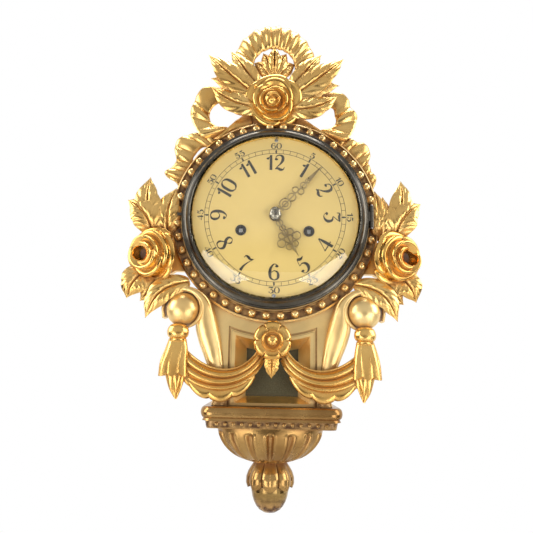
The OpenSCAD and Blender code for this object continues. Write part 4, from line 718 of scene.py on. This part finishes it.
CUP_TOP, CUP_TALL = -239.0, 22.5
CUP_OUT = -55.7  # axis of the acorn
CUP_HOLE = 16  # radius of the cup's mouth, where the nut goes in
q = circle(192)
petal = np.abs(np.cos(4 * q))
rib = 0.5 * np.exp(-((np.cos(4 * q) ** 2 - 1) / 0.012) ** 2)
rings = []
for t in np.linspace(0, 1, 30):
    r = np.interp(t, [0, 0.1, 0.25, 0.45, 0.65, 0.85, 1], [15.2, 16.6, 19.2, 22.2, 24.0, 24.2, 22.4])
    r = r * (1 - 0.16 * (1 - petal**0.28) * np.clip(3 * t + 0.25, 0, 1)) - rib * np.clip(2 * t, 0, 1)
    low = (5.4 * petal**0.7 - 1.6) * t**3
    rings.append(np.stack([r * np.cos(q), CUP_TOP - CUP_TALL * t - low, CUP_OUT + r * np.sin(q)], -1))
mouth = rings[-1][:, 1] + 2.5
rings.append(np.stack([CUP_HOLE * np.cos(q), mouth, CUP_OUT + CUP_HOLE * np.sin(q)], -1))
carve("acorn_cup", [ring_skin(np.array(rings))], SHADED_GILT)

# ---------------------------------------------------------------- dial
PRINT = 0.12  # thickness of the printing
BALL = 0.075  # radius of a figure's ball, its height being 1
HEAVY = 1.2  # the figures' strokes are this much wider than the table says


def strokes(rows, centre, turn, size, level=0):
    """Flat strokes of changing width. Each row is a few points (across, up, width) in a box one unit tall."""
    skins = []
    c, s = np.cos(np.radians(turn)), np.sin(np.radians(turn))
    for k, row in enumerate(rows):
        p = curve(row, 6 * len(row)) if len(row) > 2 else np.array(row, float)
        half = across(p[:, :2]) * p[:, 2:3] / 2
        two = np.stack([p[:, :2] - half, p[:, :2] + half], 1) * size
        x = two[..., 0] * c + two[..., 1] * s + centre[0]
        y = -two[..., 0] * s + two[..., 1] * c + centre[1]
        top, low = np.full_like(x, level + PRINT + 0.004 * k), np.full_like(x, level)
        skins.append(shell(np.stack([x, y, top], -1), np.stack([x, y, low], -1)))
    return skins


def ball(x, y, r):
    return [(x, y - r, 0.2 * r), (x, y - r * 0.6, 1.6 * r), (x, y, 2 * r), (x, y + r * 0.6, 1.6 * r),
            (x, y + r, 0.2 * r)]


DIGITS = {  # width, strokes
    "0": (0.56, [[(0.28, 1.0, 0.03), (0.10, 0.88, 0.09), (0.03, 0.5, 0.13), (0.10, 0.12, 0.09),
                  (0.28, 0.0, 0.03)],
                 [(0.28, 1.0, 0.03), (0.46, 0.88, 0.09), (0.53, 0.5, 0.13), (0.46, 0.12, 0.09),
                  (0.28, 0.0, 0.03)]]),
    "1": (0.34, [[(0.22, 1.0, 0.10), (0.22, 0.6, 0.12), (0.22, 0.0, 0.13)],
                 [(0.22, 0.98, 0.07), (0.14, 0.86, 0.04), (0.06, 0.80, 0.03)], ball(0.05, 0.76, 0.07)]),
    "2": (0.58, [ball(0.10, 0.72, BALL),
                 [(0.05, 0.76, 0.03), (0.12, 0.94, 0.05), (0.28, 1.0, 0.06), (0.44, 0.90, 0.12),
                  (0.46, 0.70, 0.14), (0.34, 0.44, 0.08), (0.12, 0.18, 0.04), (0.04, 0.05, 0.04)],
                 [(0.03, 0.08, 0.04), (0.18, 0.11, 0.10), (0.34, 0.03, 0.13), (0.47, 0.04, 0.07),
                  (0.55, 0.20, 0.03)]]),
    "3": (0.58, [[(0.04, 0.80, 0.03), (0.07, 0.97, 0.06), (0.26, 0.95, 0.11), (0.44, 0.97, 0.09),
                  (0.55, 1.0, 0.03)],
                 [(0.55, 1.0, 0.03), (0.40, 0.78, 0.04), (0.24, 0.57, 0.03)],
                 [(0.24, 0.57, 0.03), (0.46, 0.50, 0.10), (0.52, 0.26, 0.14), (0.38, 0.04, 0.08),
                  (0.18, 0.0, 0.03), (0.05, 0.12, 0.03)], ball(0.09, 0.18, BALL)]),
    "4": (0.60, [[(0.42, 1.0, 0.05), (0.22, 0.62, 0.03), (0.02, 0.27, 0.03)],
                 [(0.0, 0.27, 0.05), (0.3, 0.27, 0.05), (0.62, 0.27, 0.05)],
                 [(0.44, 1.0, 0.05), (0.44, 0.6, 0.13), (0.44, 0.0, 0.13)]]),
    "5": (0.54, [[(0.12, 0.96, 0.12), (0.30, 0.90, 0.12), (0.48, 1.0, 0.03)],
                 [(0.11, 0.98, 0.03), (0.09, 0.75, 0.03), (0.08, 0.52, 0.03)],
                 [(0.08, 0.54, 0.03), (0.26, 0.62, 0.05), (0.44, 0.50, 0.12), (0.48, 0.28, 0.14),
                  (0.36, 0.05, 0.08), (0.16, 0.0, 0.03), (0.05, 0.12, 0.03)], ball(0.09, 0.18, BALL)]),
    "6": (0.56, [ball(0.42, 0.86, BALL),
                 [(0.46, 0.92, 0.03), (0.30, 1.0, 0.04), (0.12, 0.80, 0.10), (0.05, 0.42, 0.14),
                  (0.12, 0.10, 0.09), (0.28, 0.0, 0.04)],
                 [(0.28, 0.0, 0.04), (0.46, 0.10, 0.09), (0.50, 0.30, 0.12), (0.44, 0.50, 0.08),
                  (0.28, 0.58, 0.04), (0.12, 0.46, 0.03)]]),
    "7": (0.54, [[(0.03, 0.80, 0.03), (0.06, 0.96, 0.05), (0.20, 0.96, 0.12), (0.36, 0.90, 0.09),
                  (0.52, 1.0, 0.03)],
                 [(0.52, 1.0, 0.03), (0.36, 0.68, 0.04), (0.24, 0.34, 0.09), (0.21, 0.0, 0.14)]]),
    "8": (0.56, [[(0.42, 0.90, 0.03), (0.28, 1.0, 0.04), (0.12, 0.88, 0.10), (0.16, 0.66, 0.13),
                  (0.34, 0.48, 0.13), (0.48, 0.24, 0.12), (0.40, 0.04, 0.06), (0.26, 0.0, 0.04),
                  (0.10, 0.06, 0.06), (0.06, 0.24, 0.09), (0.18, 0.46, 0.04), (0.38, 0.66, 0.04),
                  (0.44, 0.82, 0.07), (0.38, 0.94, 0.04)]]),
}
DIGITS["9"] = (0.56, [[(0.56 - x, 1 - y, w) for x, y, w in row] for row in DIGITS["6"][1]])


def number(text, centre, turn, tall, broad):
    width = broad * (sum(DIGITS[digit][0] for digit in text) + 0.08 * (len(text) - 1))
    skins, x = [], -width / 2
    for digit in text:
        wide, rows = DIGITS[digit]
        rows = [[(broad * px + x, py - 0.5, w * broad * HEAVY) for px, py, w in row] for row in rows]
        skins += strokes(rows, centre, turn, tall)
        x += broad * (wide + 0.08)
    return skins


def band(r0, r1, n=160):
    """A printed circle."""
    rows = [(r0, 0), (r1, 0), (r1, PRINT), (r0, PRINT)]
    points = lathe(0, 0, circle(n), rows).swapaxes(0, 1).reshape(-1, 3)
    faces = []
    for i in range(n):
        j = (i + 1) % n
        faces += [(i * 4 + k, j * 4 + k, j * 4 + (k + 1) % 4, i * 4 + (k + 1) % 4) for k in range(4)]
    return points, faces


TRACK = ((65.75, 66.2), (69.8, 70.25))  # radii of the two printed circles
TICK = [[(0, 66, 0.42), (0, 70, 0.42)]]
DIAMOND = [[(0, 65.4, 0.3), (0, 66.6, 1.3), (0, 67.8, 1.8), (0, 68.9, 1.3), (0, 69.9, 0.3)]]
HOURS_OUT, MINUTES_OUT = 56.2, 74.0  # middles of the figures from the dial's axis
HOURS_SIZE, MINUTES_SIZE = (15.9, 1.14), (5.8, 1.5)  # height, and how much broader than in the table
printing = [band(*radii) for radii in TRACK]
for minute in range(60):
    turn = 6 * minute
    if minute % 5:
        printing += strokes(TICK, (0, 0), turn, 1)
    else:
        printing += strokes(DIAMOND, (0, 0), turn, 1, 0.01)
        direction = np.array((np.sin(np.radians(turn)), np.cos(np.radians(turn))))
        hour = minute // 5 or 12
        upright = turn + (180 if 4 <= hour <= 8 else 0)
        printing += number(str(hour), direction * HOURS_OUT, upright, *HOURS_SIZE)
        printing += number(str(5 * hour), direction * MINUTES_OUT, upright, *MINUTES_SIZE)
piece("dial_printing", printing, INK, [], angle=20)


# ---------------------------------------------------------------- studio
MIDDLE = (0, -0.08, -0.03)


def lamp(name, where, wide, tall, power, roll=0):
    light = bpy.data.lights.new(name, "AREA")
    light.shape = "RECTANGLE"
    light.size, light.size_y, light.energy = wide, tall, power
    made = bpy.data.objects.new(name, light)
    made.location = where
    facing = (Vector(MIDDLE) - Vector(where)).to_track_quat("-Z", "Y").to_matrix()
    made.rotation_euler = (facing @ Matrix.Rotation(np.radians(roll), 3, "Z")).to_euler()
    bpy.context.scene.collection.objects.link(made)


# Three lamps in one place at each side, so that their shine is brightest in the middle: width, height, power
BOXES = ((0.80, 0.30, 2.6), (0.66, 0.20, 3.0), (0.50, 0.11, 3.0))
BOXES_ROLL = 40
for side, name in SIDES:
    for wide, tall, power in BOXES:
        where = (side * 0.67, -0.91, -0.50)
        lamp(f"{name}_box_{int(100 * wide)}", where, wide, tall, power, roll=side * BOXES_ROLL)
    lamp(name + "_wall", (side * 1.35, -0.42, 0.45), 0.7, 1.1, 10.5)
lamp("top_box", (0, 0.0, 1.25), 1.0, 0.35, 12.0)


def white_stage(name):
    """Pale and matt, plain white where the camera, metal or glass sees it, and clear from behind."""
    material, tree, shader = new_material(name)
    speck = span(tree, spots(tree, 3), 0.3, 0.7, 0.90, 0.93)
    tree.links.new(blend(tree, speck, (0.88, 0.88, 0.88), (0.93, 0.93, 0.93)), shader.inputs["Base Color"])
    shader.inputs["Roughness"].default_value = 0.9
    glow = add(tree, "ShaderNodeEmission", {"Color": (1, 1, 1, 1), "Strength": 1.0})
    path = add(tree, "ShaderNodeLightPath").outputs
    seen = count(tree, "MAXIMUM", path["Is Camera Ray"], path["Is Glossy Ray"])
    seen = count(tree, "MAXIMUM", seen, path["Is Transmission Ray"])
    mixed = add(tree, "ShaderNodeMixShader", {0: seen, 1: shader.outputs[0], 2: glow.outputs[0]})
    clear = add(tree, "ShaderNodeBsdfTransparent")
    behind = add(tree, "ShaderNodeNewGeometry").outputs["Backfacing"]
    mixed = add(tree, "ShaderNodeMixShader", {0: behind, 1: mixed.outputs[0], 2: clear.outputs[0]})
    tree.links.new(mixed.outputs[0], tree.nodes["Material Output"].inputs["Surface"])
    return material


def plane(name, size, where, material, tip=0.0):
    bpy.ops.mesh.primitive_plane_add(size=size, location=where, rotation=(tip, 0, 0))
    made = bpy.context.object
    made.name = name
    made.data.materials.append(material)
    return made


STAGE = white_stage("stage_white")
FLOOR = dull_stuff("pale_floor", (0.50, 0.49, 0.47), (0.55, 0.54, 0.52), 0.8, 4, 0.0001)
bpy.ops.object.select_all(action="DESELECT")
floor = plane("floor", 2.0, (0, -0.4, -0.62), FLOOR)
wall = plane("backdrop", 8, (0, 0.55, 0), STAGE, np.pi / 2)

# The sky: dark below the horizon, bright above, full only in front; white for the camera, and behind
# the clock for what metal and glass see of it
world = bpy.data.worlds.new("studio")
bpy.context.scene.world = world
world.use_nodes = True
tree = world.node_tree
where = add(tree, "ShaderNodeTexCoord").outputs["Generated"]
axes = add(tree, "ShaderNodeSeparateXYZ", {"Vector": where}).outputs
low_sky = blend(tree, span(tree, axes["Z"], -0.16, 0.12), (0.10, 0.085, 0.07), (0.86, 0.86, 0.86))
sky = blend(tree, span(tree, axes["Z"], 0.12, 0.9), low_sky, (1.0, 1.0, 1.0))
less = add(tree, "ShaderNodeVectorMath", {0: sky, "Scale": 0.58}, operation="SCALE").outputs[0]
background = tree.nodes["Background"]
tree.links.new(blend(tree, span(tree, axes["Y"], -0.97, -0.35), sky, less), background.inputs["Color"])
background.inputs["Strength"].default_value = 0.73
path = add(tree, "ShaderNodeLightPath").outputs
seen = count(tree, "MAXIMUM", path["Is Glossy Ray"], path["Is Transmission Ray"])
seen = count(tree, "MULTIPLY", seen, span(tree, axes["Y"], 0.0, 0.2))
seen = count(tree, "MAXIMUM", seen, path["Is Camera Ray"])
white = add(tree, "ShaderNodeBackground", {"Color": (1, 1, 1, 1), "Strength": 1.0})
mixed = add(tree, "ShaderNodeMixShader", {0: seen, 1: background.outputs[0], 2: white.outputs[0]})
tree.links.new(mixed.outputs[0], tree.nodes["World Output"].inputs["Surface"])

lens = bpy.data.cameras.new("camera")
lens.lens = 35.12
lens.sensor_width = 36
lens.clip_start = 0.01
camera = bpy.data.objects.new("camera", lens)
camera_at = (-0.0038, -0.5817, -0.148)
right = Vector((0.9998, 0.0036, 0.0201))
upward = Vector((-0.0190, -0.1915, 0.9813))
ahead = Vector((-0.0074, 0.9815, 0.1914))
turn = Matrix((right, upward, -ahead)).transposed()
camera.matrix_world = Matrix.Translation(camera_at) @ turn.to_4x4()
bpy.context.scene.collection.objects.link(camera)
bpy.context.scene.camera = camera
bpy.context.scene.view_settings.view_transform = "Standard"
